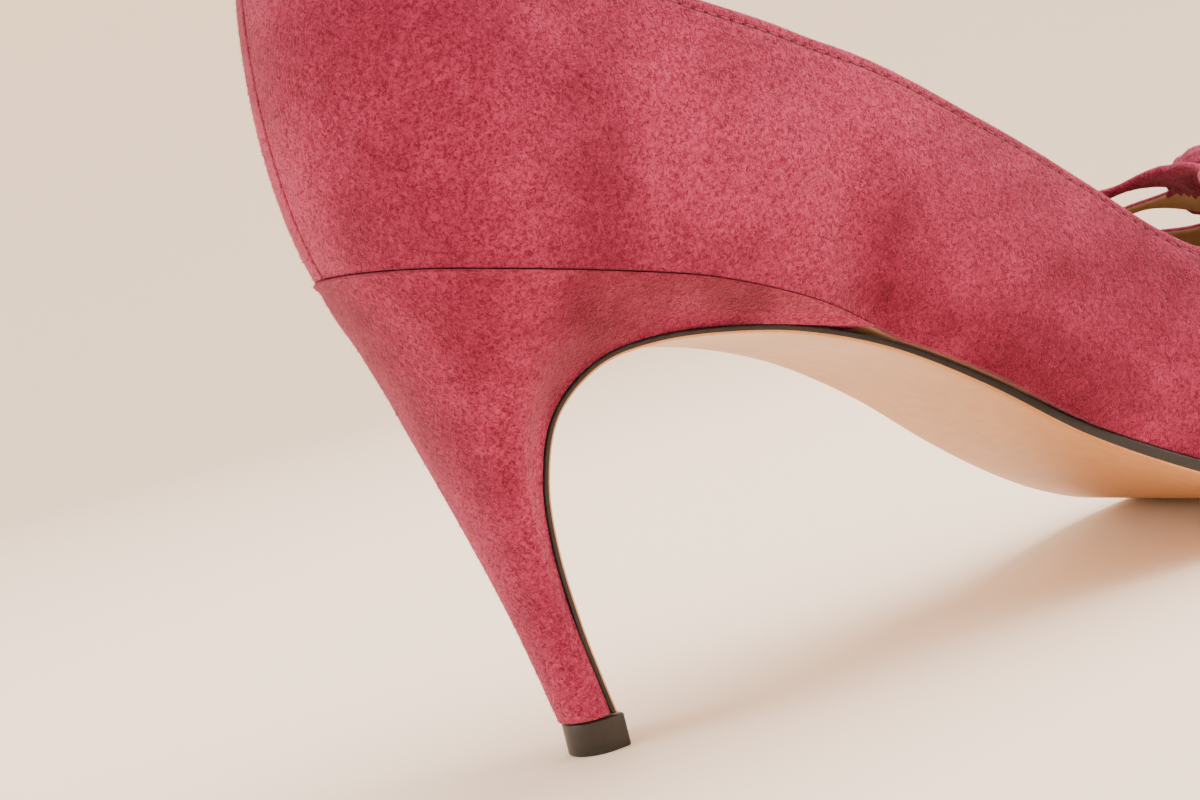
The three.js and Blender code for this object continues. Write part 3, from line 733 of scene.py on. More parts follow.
def add_piece(name, points, faces, materials, faces_of=None, marks=None, replaces=None, tidy=False):
    """Makes one piece from points in millimetres, and lets it ride on the shoe."""
    mesh = bpy.data.meshes.new(name)
    mesh.from_pydata(to_metres(points).tolist(), [], [list(map(int, f)) for f in faces])
    for material in materials:
        mesh.materials.append(material)
    if faces_of is not None:
        mesh.polygons.foreach_set("material_index", np.asarray(faces_of, np.int32))
    # The marks go to an attribute that the suede uses for painted shade.
    if marks is not None:
        layer = mesh.attributes.new("crease", "FLOAT", "POINT")
        layer.data.foreach_set("value", np.asarray(marks, np.float32))
    mesh.polygons.foreach_set("use_smooth", np.ones(len(mesh.polygons), bool))
    if tidy:
        work = bmesh.new()
        work.from_mesh(mesh)
        bmesh.ops.remove_doubles(work, verts=work.verts, dist=1e-7)
        bmesh.ops.recalc_face_normals(work, faces=work.faces)
        work.to_mesh(mesh)
        work.free()
    mesh.validate()
    mesh.update()
    piece = bpy.data.objects.new(name, mesh)
    bpy.context.scene.collection.objects.link(piece)
    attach(piece, "root")
    if replaces:
        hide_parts(replaces)
    return piece


def ring_faces(rings, count):
    faces = []
    for i in range(rings - 1):
        for k in range(count):
            m = (k + 1) % count
            faces.append((i * count + k, i * count + m, (i + 1) * count + m, (i + 1) * count + k))
    return faces


def end_faces(rings, count):
    """One flat face on the first ring and one on the last."""
    return [tuple(range(count))[::-1], tuple((rings - 1) * count + k for k in range(count))]


def cap_faces(start, count, flip):
    """Closes a ring by strips between its two halves."""
    faces = []
    low, high = 0, count - 1
    while high - low > 1:
        if high - low == 2:
            face = (start + low, start + low + 1, start + high)
        else:
            face = (start + low, start + low + 1, start + high - 1, start + high)
        faces.append(face[::-1] if flip else face)
        low += 1
        high -= 1
    return faces


# Upper
TOP_ROWS = (0.0, 0.35, 0.7, 0.95, 1.2, 1.5, 1.9, 2.5, 3.3)
FOOT_ROWS = (0.0, 0.35, 0.9, 1.7)
WALL_ROWS = 44
FOOT_LEVEL = 5.0
FOOT_EDGE = 0.25
STITCH_ROW = 4
STITCH_GROOVE = 0.22
RIM_STEPS = 6
WELD_STEP = 0.002
NEAR_CUT = 0.28
SKIN, LINED = 0, 1
FAR = 9.0
BACK_TURNS = 0.3
STRAPS_FROM = 0.62
BACK_ROWS = (0.0, 0.0011, 0.0024, 0.0042, 0.0066, 0.0096)
TURN_SPANS = ((0.44, 96), (0.62, 112), (1.0, 84))


def sheet_turns():
    """Turns round the last, close together at the back seam and at the throat."""
    turns = list(BACK_ROWS)
    for end, count in TURN_SPANS:
        turns += np.linspace(turns[-1], end, count)[1:].tolist()
    return np.array(turns)


def spaced_along(rib, top, first, last, rows):
    """Values of t on each rib for the rows, spaced by length along the rib."""
    count = 240
    share = np.linspace(0.0, 1.0, count)
    t = share[None, :] * top[:, None]
    points = on_rib(rib, t)
    steps = np.linalg.norm(np.diff(points, axis=1), axis=2)
    travel = np.concatenate([np.zeros((len(rib), 1)), np.cumsum(steps, axis=1)], axis=1)
    out = np.zeros((len(rib), len(first) + rows + len(last)))
    for i in range(len(rib)):
        total = travel[i, -1]
        low = np.asarray(first)
        high = total - np.asarray(last)[::-1]
        middle = np.linspace(low[-1], high[0], rows + 2)[1:-1]
        wanted = np.concatenate([low, middle, high])
        out[i] = np.interp(wanted, travel[i], t[i])
    return out, travel[:, -1]


def foot_levelled(points, normal):
    """Normals turned near the foot, so that the wall's edge lies level with the feather line."""
    foot_x = points[:, 0, 0]
    rise = feather_height(foot_x + 0.5) - feather_height(foot_x - 0.5)
    upright = unit(stack(-rise, 0.0, 1.0))[:, None, :]
    level = 1 - ease((np.linalg.norm(points - points[:, :1], axis=2) - 1.0) / FOOT_LEVEL)
    tipped = np.sum(normal * upright, axis=2)
    return unit(normal - (level * tipped)[..., None] * upright)


def side_sheet(side, turns, fold):
    """Skin of one side: place, normal, distance from edge and back seam, foot mark; closed turns."""
    rib = ribs(side, turns)
    top, closed = tops_of(rib)
    spaced, total = spaced_along(rib, top, np.asarray(FOOT_ROWS) + FOOT_EDGE, TOP_ROWS, WALL_ROWS)
    # The folded edge stands proud of the skin by half its thickness
    shorter = 1 - np.where(closed, 0.0, fold / 2) / np.maximum(total, 1.0)
    points = on_rib(rib, np.where(closed[:, None], spaced, spaced * shorter[:, None]))
    along = np.gradient(points, axis=0)
    up = np.gradient(points, axis=1)
    normal = unit(np.cross(along, up) if side < 0 else np.cross(up, along))
    on_middle = (turns == 0) | (turns == 1)
    normal[on_middle, :, 1] = 0
    normal[closed, -1, 1] = 0
    normal = foot_levelled(points, unit(normal))
    from_top = np.concatenate([np.full(points.shape[1] - len(TOP_ROWS), FAR), TOP_ROWS[::-1]])
    edge = np.where(closed[:, None], FAR, from_top[None, :])
    seam = np.abs(points[:, :, 1]) + np.where(turns < BACK_TURNS, 0.0, FAR)[:, None]
    foot = np.zeros_like(edge)
    foot[:, 0] = 1.0
    return np.concatenate([points, normal, stack(edge, seam, foot)], axis=2), closed


def upper_sheet(fold):
    """Outer skin of both sides, welded on the middle line, and the rows that the stitches follow."""
    turns = sheet_turns()
    sides = []
    faces = []
    lines = {}
    for side in SIDES:
        sheet, closed = side_sheet(side, turns, fold)
        rows = sheet.shape[1]
        row = sheet[:, rows - 1 - STITCH_ROW]
        lines[side] = {"points": row[:, :3], "normals": row[:, 3:6], "closed": closed}
        start = len(sides) * len(turns) * rows
        for i in range(len(turns) - 1):
            for j in range(rows - 1):
                a = start + i * rows + j
                b = a + rows
                quad = (a, b, b + 1, a + 1)
                faces.append(quad if side < 0 else quad[::-1])
        sides.append(sheet.reshape(-1, sheet.shape[2]))
    return weld(np.concatenate(sides), faces), lines


def weld(data, faces):
    """Joins the two sides where they meet on the middle line."""
    keys = np.round(data[:, :3] / WELD_STEP).astype(np.int64)
    _, first, inverse = np.unique(keys, axis=0, return_index=True, return_inverse=True)
    inverse = inverse.ravel()
    merged = data[first].copy()
    sums = np.zeros((len(first), 3))
    np.add.at(sums, inverse, data[:, 3:6])
    merged[:, 3:6] = unit(sums)
    out = []
    for face in faces:
        loop = []
        for k in face:
            m = int(inverse[k])
            if m not in loop:
                loop.append(m)
        if len(loop) > 2:
            out.append(tuple(loop))
    return merged, out


def cut_sheet(data, faces, field):
    """Cuts away the part of a sheet where field is negative, along a clean line."""
    data = data.copy()
    f = field.copy()
    sign = np.where(f > 0, 1, -1)
    mixed = [face for face in faces if len({int(sign[k]) for k in face}) > 1]
    for face in mixed:
        for a, b in zip(face, face[1:] + face[:1]):
            if sign[a] * sign[b] < 0:
                t = f[a] / (f[a] - f[b])
                near = a if t < NEAR_CUT else b if t > 1 - NEAR_CUT else None
                if near is not None:
                    data[near] = data[a] + t * (data[b] - data[a])
                    sign[near] = 0
                    f[near] = 0.0
    made = {}
    extra = []
    out = []
    count = len(data)
    for face in faces:
        signs = [int(sign[k]) for k in face]
        if max(signs) <= 0:
            continue
        if min(signs) >= 0:
            out.append(face)
            continue
        loop = []
        for a, b in zip(face, face[1:] + face[:1]):
            if sign[a] >= 0:
                loop.append(a)
            if sign[a] * sign[b] < 0:
                key = (min(a, b), max(a, b))
                if key not in made:
                    t = f[a] / (f[a] - f[b])
                    extra.append(data[a] + t * (data[b] - data[a]))
                    made[key] = count + len(extra) - 1
                loop.append(made[key])
        if len(loop) > 2:
            out.append(tuple(loop))
    if extra:
        data = np.concatenate([data, np.array(extra)])
        data[:, 3:6] = unit(data[:, 3:6])
    used = np.unique(np.concatenate([np.array(face) for face in out]))
    moved = np.full(len(data), -1)
    moved[used] = np.arange(len(used))
    return data[used], [tuple(int(moved[k]) for k in face) for face in out]


def rim_profile(thick, squared):
    """Places on a rim between skin and lining: how far past the edge, and how deep."""
    if squared:
        near, half = 0.05 * FOOT_EDGE, 0.5 * FOOT_EDGE
        return [(0.6 * FOOT_EDGE, near), (FOOT_EDGE, half), (FOOT_EDGE, thick - half),
                (0.6 * FOOT_EDGE, thick - near), (0.0, thick)]
    angles = [math.pi * m / RIM_STEPS for m in range(1, RIM_STEPS)]
    return [(thick / 2 * math.sin(a), thick / 2 * (1 - math.cos(a))) for a in angles]


def shell(data, faces, thick, depth):
    """Gives a sheet its wall: skin, lining, folded edges above and a square edge below."""
    normals = data[:, 3:6]
    outer = data[:, :3] - normals * depth[:, None]
    inner = data[:, :3] - normals * thick[:, None]
    count = len(data)
    at_foot = data[:, 8] > 0.5
    out = list(faces) + [tuple(k + count for k in face[::-1]) for face in faces]
    kinds = [SKIN] * len(faces) + [LINED] * len(faces)
    directed = {(a, b) for face in faces for a, b in zip(face, face[1:] + face[:1])}
    border = sorted((a, b) for a, b in directed if (b, a) not in directed)
    outward = {}
    for a, b in border:
        step = outer[b] - outer[a]
        for k in (a, b):
            outward[k] = outward.get(k, 0) + unit(np.cross(step, normals[k]))
    rim = {}
    rim_points = []
    for k, direction in outward.items():
        way = unit(direction - normals[k] * np.dot(direction, normals[k]))
        start = 2 * count + len(rim_points)
        for out_by, down in rim_profile(thick[k] - depth[k], at_foot[k]):
            rim_points.append(outer[k] + way * out_by - normals[k] * down)
        rim[k] = [k, *range(start, start + RIM_STEPS - 1), k + count]
    for a, b in border:
        for m in range(RIM_STEPS):
            out.append((rim[b][m], rim[a][m], rim[a][m + 1], rim[b][m + 1]))
            kinds.append(SKIN if at_foot[a] or m < RIM_STEPS - 2 else LINED)
    return np.concatenate([outer, inner, np.array(rim_points)]), out, kinds


def upper_shell():
    fold = settings()[0].fold * METRE
    (data, faces), lines = upper_sheet(fold)
    for side in SIDES:
        for slit in slits():
            data, faces = cut_sheet(data, faces, slit_field(data, side, slit, fold / 2))
    edge = data[:, 6]
    near_slit = np.full(len(data), FAR)
    for side in SIDES:
        for slit in slits():
            near_slit = np.minimum(near_slit, slit_field(data, side, slit, fold / 2))
    thick = mix(fold, WALL, ease((np.minimum(edge, near_slit) - 0.5) / 3.0))
    groove = STITCH_GROOVE * np.exp(-((edge - TOP_ROWS[STITCH_ROW]) / 0.26) ** 2)
    butt = 0.34 * np.exp(-(data[:, 7] / 0.22) ** 2) - 0.10 * np.exp(-((data[:, 7] - 0.75) / 0.3) ** 2)
    depth = groove + butt
    # Marks for painted shade along the stitch groove and at the back seam.
    marks = np.clip(0.62 * np.exp(-((edge - TOP_ROWS[STITCH_ROW]) / 0.22) ** 2)
                    + 0.8 * np.exp(-(data[:, 7] / 0.25) ** 2), 0.0, 1.0)
    return data, faces, thick, depth, marks, lines


UPPER = {}


def shared_upper():
    if not UPPER:
        data, faces, thick, depth, marks, lines = upper_shell()
        UPPER.update(data=data, faces=faces, thick=thick, depth=depth, marks=marks, lines=lines)
    return UPPER


def suede_both_ways(points, faces, kinds):
    """Gives the rear strap suede on its inner face too."""
    reach = SLIT_INNER + 0.9 * SLIT_LENGTH
    for k, face in enumerate(faces):
        x, y, _ = points[face[0]]
        front = THROAT_X + FIRST_STRAP + 0.6 * FIRST_SLIT - THROAT_FALL * (y / THROAT_HALF) ** 2
        if STRAPS_FROM * LENGTH < x < front and abs(y) < reach:
            kinds[k] = SKIN


class SHOE_OT_upper(bpy.types.Operator):
    """Suede upper with its lining, folded topline, straps and back seam."""
    bl_idname = "shoe.upper"
    bl_label = "Upper"

    def execute(self, context):
        kept = shared_upper()
        points, faces, kinds = shell(kept["data"], kept["faces"], kept["thick"], kept["depth"])
        suede_both_ways(points, faces, kinds)
        marks = np.zeros(len(points))
        marks[:len(kept["marks"])] = kept["marks"]
        add_piece("upper_shell", points, faces, [upper_suede(), lining_leather()],
                  faces_of=kinds, marks=marks, replaces="upper")
        return {"FINISHED"}


# Heel
def heel_share(steps_round, steps_side, round_part):
    turned = round_part * (1 - np.cos(np.pi / 2 * np.arange(steps_round + 1) / steps_round))
    straight = mix(round_part, 1.0, np.arange(1, steps_side + 1) / steps_side)
    return np.concatenate([turned, straight])


HEEL_ROUND_STEPS = 26
HEEL_SIDE_STEPS = 26
HEEL_TOP_PLACES = (0, .14, .28, .42, .55, .67, .77, .85, .91, .96, .985, 1.0)


def heel_rings():
    rings = []
    for i in range(len(HEEL["back_x"])):
        row = {key: column[i] for key, column in HEEL.items()}
        normal = sole_normal(row["front"])
        front = sole_line(row["front"]) + normal * (sole_depth(row["front"]) + 0.05)
        if row["back_z"] * SEAT_HEIGHT < LIFT_HEIGHT + 2 * GAP:
            front = np.array([front[0], LIFT_HEIGHT + GAP])
        back = np.array([SEAT_ROUND * row["back_x"], SEAT_HEIGHT * row["back_z"]])
        share = heel_share(HEEL_ROUND_STEPS, HEEL_SIDE_STEPS, row["round"])
        halves = []
        for side in SIDES:
            front_half = sole_half(side, row["front"]) - HEEL_INSET
            p = mix(back[None, :], front[None, :], share[:, None])
            chord_x = mix(back[0], WING_END, share)
            chord = mix(seam_height(back[0]), seam_height(WING_END), share)
            z = p[:, 1] + row["bend"] * (seam_height(chord_x) - chord)
            body = mix(SEAT_HALF * row["half"], front_half,
                       ease((share - row["round"]) / (1 - row["round"])))
            halves.append(stack(p[:, 0], side * body * round_end(share, row["round"]), z))
        rings.append(np.concatenate([halves[0][::-1], halves[1][1:]]))
    round_part = SEAT_ROUND / (WING_END - FEATHER_BACK)
    x = mix(FEATHER_BACK, WING_END, heel_share(HEEL_ROUND_STEPS, HEEL_SIDE_STEPS, round_part))
    halves = [stack(x, side * feather_half(side, x), feather_height(x) - GAP) for side in SIDES]
    rings.append(np.concatenate([halves[0][::-1], halves[1][1:]]))
    return np.array(rings)


def heel_mesh():
    rings = heel_rings()
    last = len(rings) - 1.0
    places = np.concatenate([np.linspace(0.0, last - 1.0, 66)[:-1],
                             mix(last - 1.0, last, np.array(HEEL_TOP_PLACES))])
    body = catmull(rings, places)
    # The cover rolls over the seat edge a little proud of the counter
    middle = body.mean(axis=1, keepdims=True)
    way = unit((body - middle) * np.array([1.0, 1.0, 0.0]))
    count = body.shape[1]
    k = np.arange(count)
    rear = ease(1 - np.abs(k - (count - 1) / 2) / (count / 2) + 0.15)
    proud = 0.5 * np.exp(-((last - places - 0.10) / 0.12) ** 2)
    proud[-1] = 0.05
    return body + way * proud[:, None, None] * rear[None, :, None]


class SHOE_OT_heel(bpy.types.Operator):
    """Slim heel in its suede cover."""
    bl_idname = "shoe.heel"
    bl_label = "Heel"

    def execute(self, context):
        body = heel_mesh()
        rings, count = body.shape[:2]
        faces = ring_faces(rings, count)
        faces += cap_faces(0, count, True)
        faces += cap_faces((rings - 1) * count, count, False)
        add_piece("heel_cover", body.reshape(-1, 3), faces, [heel_suede()],
                  marks=np.zeros(rings * count), replaces="heel", tidy=True)
        return {"FINISHED"}


# Outsole
UNDERSIDE, PAINTED, RAW_CORNER = 0, 1, 2


def sole_places():
    toe = 1.15 * (np.arange(1, 31) / 30.0) ** 2
    rest = np.arange(1.2, LAST_SOLE_ROW, 0.1)
    return np.concatenate([toe, rest, [LAST_SOLE_ROW]])


def sole_section(left, right, depth):
    """Outline of the sole's cross section, as side and height, and what each strip is."""
    bevel = EDGE_BEVEL
    corner = [(bevel * (1 - math.sin(a)), bevel * (1 - math.cos(a))) for a in np.linspace(0, math.pi / 2, 5)]
    leaving = corner[:-1]
    arriving = corner[::-1][:-1]
    quarters = [k / 4 for k in range(4)]
    strips = (
        (UNDERSIDE, [(mix(left + bevel, right - bevel, k / 14), 0.0) for k in range(14)]),
        (RAW_CORNER, [(right - out_by, up) for out_by, up in leaving]),
        (PAINTED, [(right, mix(bevel, depth - bevel, k)) for k in quarters]),
        (PAINTED, [(right - out_by, depth - up) for out_by, up in arriving]),
        (PAINTED, [(mix(right - bevel, left + bevel, k), depth) for k in quarters]),
        (PAINTED, [(left + out_by, depth - up) for out_by, up in leaving]),
        (PAINTED, [(left, mix(depth - bevel, bevel, k)) for k in quarters]),
        (RAW_CORNER, [(left + out_by, up) for out_by, up in arriving]),
    )
    return [p for _, row in strips for p in row], [kind for kind, row in strips for _ in row]


def outsole_mesh():
    places = sole_places()
    points = []
    for place in places:
        normal = sole_normal(place)
        base = sole_line(place)
        section, kinds = sole_section(-float(sole_half(-1, place)), float(sole_half(1, place)),
                                      float(sole_depth(place)))
        points += [(base[0] + normal[0] * h, y, base[1] + normal[1] * h) for y, h in section]
    points = np.array(points)
    points[-len(kinds):, 2] = LIFT_HEIGHT + GAP
    faces = ring_faces(len(places), len(kinds)) + end_faces(len(places), len(kinds))
    return points, faces, kinds * (len(places) - 1) + [PAINTED] * 2


class SHOE_OT_outsole(bpy.types.Operator):
    """Leather sole with its painted edge, from the toe down the breast of the heel."""
    bl_idname = "shoe.outsole"
    bl_label = "Outsole"

    def execute(self, context):
        points, faces, kinds = outsole_mesh()
        add_piece("outsole_leather", points, faces, sole_leathers(),
                  faces_of=kinds, replaces="outsole", tidy=True)
        return {"FINISHED"}


# Insole
def insole_mesh():
    turns = np.linspace(0.045, 0.965, 150)
    inset = WALL + 2 * GAP
    feet = []
    for side in SIDES:
        foot = on_rib(ribs(side, turns), np.zeros((len(turns), 1)))[:, 0]
        along = np.gradient(foot, axis=0)
        foot -= inset * side * unit(stack(-along[:, 1], along[:, 0], 0.0))
        foot[:, 2] = feather_height(foot[:, 0])
        feet.append(foot)
    across = 12
    points = []
    for left, right in zip(*feet):
        for k in range(across + 1):
            share = k / across
            edge = min(share, 1 - share) * np.linalg.norm(right - left)
            crown = INSOLE_THICK - 0.35 * (1 - round_end(edge, 1.2))
            points.append(mix(left, right, share) + np.array([0, 0, crown]))
        points += [right, left]
    count = across + 3
    return np.array(points), ring_faces(len(turns), count) + end_faces(len(turns), count)


class SHOE_OT_insole(bpy.types.Operator):
    """Insole board in its leather sock."""
    bl_idname = "shoe.insole"
    bl_label = "Insole"

    def execute(self, context):
        points, faces = insole_mesh()
        add_piece("insole_sock", points, faces, [sock_leather()],
                  replaces="insole", tidy=True)
        return {"FINISHED"}


# Top piece
LIFT_PROUD = 0.35
LIFT_CORNER = 0.5
LIFT_BEVEL = 0.3


def top_piece_mesh():
    front = LENGTH * SOLE["along"][-1] + LIFT_LIP
    back = front - LIFT_DEPTH
    half = LIFT_HALF + LIFT_PROUD
    corner = LIFT_CORNER
    arcs = ((front - corner, half - corner, corner, 0.0, 0.5, 7),
            (back + half, 0.0, half, 0.5, 1.5, 49),
            (front - corner, corner - half, corner, -0.5, 0.0, 7))
    outline = np.array([(x + radius * math.cos(angle), y + radius * math.sin(angle))
                        for x, y, radius, start, end, count in arcs
                        for angle in np.linspace(math.pi * start, math.pi * end, count)])
    middle = np.array([(front + back) / 2, 0.0])
    way = unit(outline - middle)
    lower = [(0.9, 0.0), (LIFT_BEVEL, 0.0), (0.12, 0.06), (0.0, 0.25)]
    upper = [(inset, LIFT_HEIGHT - height) for inset, height in lower[::-1]]
    rings = [stack(*(outline - way * inset).T, height)
             for inset, height in lower + [(0.0, 1.6), (0.0, 3.4)] + upper]
    rings = np.array(rings)
    count = rings.shape[1]
    return rings.reshape(-1, 3), ring_faces(len(rings), count) + end_faces(len(rings), count)


class SHOE_OT_top_piece(bpy.types.Operator):
    """Rubber top piece under the heel."""
    bl_idname = "shoe.top_piece"
    bl_label = "Top piece"

    def execute(self, context):
        points, faces = top_piece_mesh()
        add_piece("top_piece_lift", points, faces, [lift_rubber()],
                  replaces="top_piece", tidy=True)
        return {"FINISHED"}


# Knot
KNOT_AROUND = 96
KNOT_DOWN = 60
KNOT_CLEAR = 0.12
KNOT_WRAP = 4.2
GATHERS = 7
GATHER_DEPTH = 0.085
BAND_PROUD = 0.07
WAIST_DEPTH = 0.16


def knot_swell(x, turn):
    """The knot's width at a place along it: gathers run out from the band that wraps its middle."""
    wave = math.cos(GATHERS * turn + 0.6 * math.sin(3 * x))
    gathers = GATHER_DEPTH * wave * ease(abs(x) * 2.2 - 0.5)
    waist = 1 - WAIST_DEPTH * math.exp(-((abs(x) - 0.33) / 0.13) ** 2)
    band = 1 + BAND_PROUD * math.exp(-(x / 0.24) ** 4)
    wobble = 1 + 0.03 * math.sin(2 * turn + 4 * x) + 0.02 * math.sin(5 * x + turn)
    return waist * band * wobble * (1 - gathers)


def knot_mesh():
    centre_x = THROAT_X + KNOT_LENGTH / 2 - KNOT_BEHIND
    rise = float(ridge_height(centre_x - 4) - ridge_height(centre_x + 4))
    tilt = math.atan2(rise, 8)
    points = []
    for i in range(KNOT_DOWN + 1):
        polar = math.pi * i / KNOT_DOWN
        x = math.cos(polar)
        ring = math.sin(polar)
        for k in range(KNOT_AROUND):
            turn = 2 * math.pi * k / KNOT_AROUND
            grow = knot_swell(x, turn)
            points.append((x * KNOT_LENGTH / 2, ring * math.cos(turn) * KNOT_WIDTH / 2 * grow,
                           ring * math.sin(turn) * (KNOT_HEIGHT / 2 + KNOT_SINK) * grow))
    points = np.array(points)
    turned = points.copy()
    turned[:, 0] = points[:, 0] * math.cos(tilt) + points[:, 2] * math.sin(tilt)
    turned[:, 2] = -points[:, 0] * math.sin(tilt) + points[:, 2] * math.cos(tilt)
    turned += np.array([centre_x, 0.0, float(ridge_height(centre_x)) + KNOT_HEIGHT / 2 - KNOT_SINK])
    skin = shared_upper()["data"]
    near = skin[(skin[:, 0] > THROAT_X - 10) & (skin[:, 0] < THROAT_X + 40)]
    tree = KDTree(len(near))
    for k, row in enumerate(near):
        tree.insert(Vector(row[:3]), k)
    tree.balance()
    for k, p in enumerate(turned):
        _, index, _ = tree.find(Vector(p))
        base = near[index]
        above = float(np.dot(p - base[:3], base[3:6]))
        behind = ease((THROAT_X + 2.0 - p[0]) / 3.0)
        low = mix(KNOT_CLEAR, -KNOT_WRAP, behind)
        if above < low:
            turned[k] = p + base[3:6] * (low - above)
    return turned, ring_faces(KNOT_DOWN + 1, KNOT_AROUND)


class SHOE_OT_knot(bpy.types.Operator):
    """Soft suede knot that gathers the straps."""
    bl_idname = "shoe.knot"
    bl_label = "Knot"

    def execute(self, context):
        points, faces = knot_mesh()
        add_piece("knot_gathered", points, faces, [knot_suede()],
                  marks=np.zeros(len(points)), replaces="knot", tidy=True)
        return {"FINISHED"}


# Stitching
def beads(centres, ways, ups, long, radius):
    """Small rounded bars, one for each stitch."""
    around, along = 8, 5
    points = []
    faces = []
    for centre, way, up in zip(centres, ways, ups):
        side = np.cross(way, up)
        start = len(points)
        for i in range(along + 1):
            angle = math.pi * i / along
            shift = -math.cos(angle) * long / 2
            size = radius * max(math.sin(angle), 0.02) ** 0.6
            for k in range(around):
                turn = 2 * math.pi * k / around
                around_bar = side * math.cos(turn) + up * math.sin(turn)
                points.append(centre + way * shift + size * around_bar)
        faces += [tuple(start + v for v in face) for face in ring_faces(along + 1, around)]
        faces.append(tuple(start + k for k in range(around))[::-1])
        faces.append(tuple(start + along * around + k for k in range(around)))
    return points, faces


def along_line(line, normals, pitch, first):
    """Evenly spaced places on a line, with their directions."""
    steps = np.linalg.norm(np.diff(line, axis=0), axis=1)
    travel = np.concatenate([[0], np.cumsum(steps)])
    wanted = np.arange(first, travel[-1] - pitch, pitch)
    at = np.stack([np.interp(wanted, travel, line[:, k]) for k in range(3)], axis=1)
    ahead = np.stack([np.interp(wanted + 0.2, travel, line[:, k]) for k in range(3)], axis=1)
    up = unit(np.stack([np.interp(wanted, travel, normals[:, k]) for k in range(3)], axis=1))
    return at, unit(ahead - at), up


def stitch_mesh(sizes):
    """Stitches, with near-black bars between them as painted shade for the needle holes, on both sides as
    far as the straps.
    """
    lines = shared_upper()["lines"]
    pitch = sizes.stitch_pitch * METRE
    radius = sizes.thread * METRE / 2
    # The second row is of near-black bars, painted shade for the needle holes.
    rows = ((0, 0.0, pitch * 0.74, radius, STITCH_GROOVE - 0.6 * radius),
            (1, pitch / 2, 0.5, 0.27, STITCH_GROOVE + 0.06))
    points = []
    faces = []
    kinds = []
    for side in SIDES:
        line = lines[side]
        open_part = ~line["closed"] & (line["points"][:, 0] < THROAT_X - 2)
        at, way, up = along_line(line["points"][open_part], line["normals"][open_part], pitch, 0.5 * pitch)
        for kind, shift, long, wide, sink in rows:
            more, some = beads(at + way * shift - up * sink, way, up, long, wide)
            faces += [tuple(len(points) + v for v in face) for face in some]
            points += more
            kinds += [kind] * len(some)
    return np.array(points), faces, kinds


class SHOE_OT_stitching(bpy.types.Operator):
    """Topline stitching, with near-black bars painted as the shade in its needle holes."""
    bl_idname = "shoe.stitching"
    bl_label = "Stitching"

    def execute(self, context):
        points, faces, kinds = stitch_mesh(settings()[0])
        add_piece("topline_stitches", points, faces, stitch_threads(), faces_of=kinds)
        return {"FINISHED"}


# Nap
FIBRE_RADIUS = 0.045
FIBRE_LIFT = (12, 62)
FIBRE_SINK = 0.03


def flow(points, normals, random):
    """The way the nap lies, which turns slowly over the shoe."""
    x, y, z = points.T
    swing = (0.8 * np.sin(0.075 * x + 1.1 * np.sin(0.09 * z)) + 0.5 * np.sin(0.21 * z - 0.05 * x)
             + random.normal(0.0, 0.75, len(points)))
    down = np.array([-0.35, 0.0, -0.94])
    laid = unit(down - normals * (normals @ down)[:, None])
    across = np.cross(normals, laid)
    return laid * np.cos(swing)[:, None] + across * np.sin(swing)[:, None]


def fibres(points, faces, count, longest, seed):
    """Closed slender spikes scattered over a skin."""
    random = np.random.RandomState(seed)
    corners = np.array([f[:3] for f in faces] + [(f[0], f[2], f[3]) for f in faces if len(f) > 3])
    a, b, c = points[corners[:, 0]], points[corners[:, 1]], points[corners[:, 2]]
    cross = np.cross(b - a, c - a)
    area = np.linalg.norm(cross, axis=1) / 2
    chosen = random.choice(len(corners), count, p=area / area.sum())
    u = random.rand(count)
    v = random.rand(count)
    fold = u + v > 1
    u[fold], v[fold] = 1 - u[fold], 1 - v[fold]
    root = a[chosen] + (b - a)[chosen] * u[:, None] + (c - a)[chosen] * v[:, None]
    normal = unit(cross[chosen])
    laid = flow(root, normal, random)
    lift = np.radians(random.uniform(*FIBRE_LIFT, count))
    way = laid * np.cos(lift)[:, None] + normal * np.sin(lift)[:, None]
    long = longest * (0.35 + 0.65 * random.rand(count) ** 2)
    tip = root + way * long[:, None]
    side = unit(np.cross(way, normal))
    other = np.cross(way, side)
    root = root - normal * FIBRE_SINK
    ring = [root + FIBRE_RADIUS * (math.cos(t) * side + math.sin(t) * other)
            for t in (0, 2 * math.pi / 3, 4 * math.pi / 3)]
    points = np.stack([*ring, tip], axis=1).reshape(-1, 3)
    start = 4 * np.arange(count)[:, None]
    spikes = np.concatenate([start + np.array([t]) for t in ((0, 1, 3), (1, 2, 3), (2, 0, 3), (0, 2, 1))])
    return points, spikes


# Each nap's skin, its colour against the suede's, and its seed
NAPS = {
    "upper": ("upper_shell", 1.12, 11),
    "heel": ("heel_cover", 1.10, 12),
    "knot": ("knot_gathered", 1.10, 13),
}


class SHOE_OT_nap(bpy.types.Operator):
    """Loose suede fibres on upper, heel and knot."""
    bl_idname = "shoe.nap"
    bl_label = "Nap"

    def execute(self, context):
        sizes = settings()[0]
        for name, (skin, share, seed) in NAPS.items():
            mesh = bpy.data.objects[skin].data
            points = np.array([v.co for v in mesh.vertices]) * METRE + np.array([ORIGIN_X, ORIGIN_Y, 0.0])
            faces = [tuple(p.vertices) for p in mesh.polygons
                     if p.material_index == SKIN and len(p.vertices) < 5]
            count = getattr(sizes, name + "_fibres")
            tips, spikes = fibres(points, faces, count, sizes.nap * METRE, seed)
            add_piece(name + "_nap", tips, spikes, [fibre_suede(skin + "_fibre", share)])
        return {"FINISHED"}


# Stage
CAMERA_FROM = (-0.2054, -0.2594, 0.0715)
CAMERA_YAW = math.radians(26.29)
CAMERA_PITCH = math.radians(-4.29)
CAMERA_ROLL = math.radians(-13.87)
CAMERA_LENS = 57.84


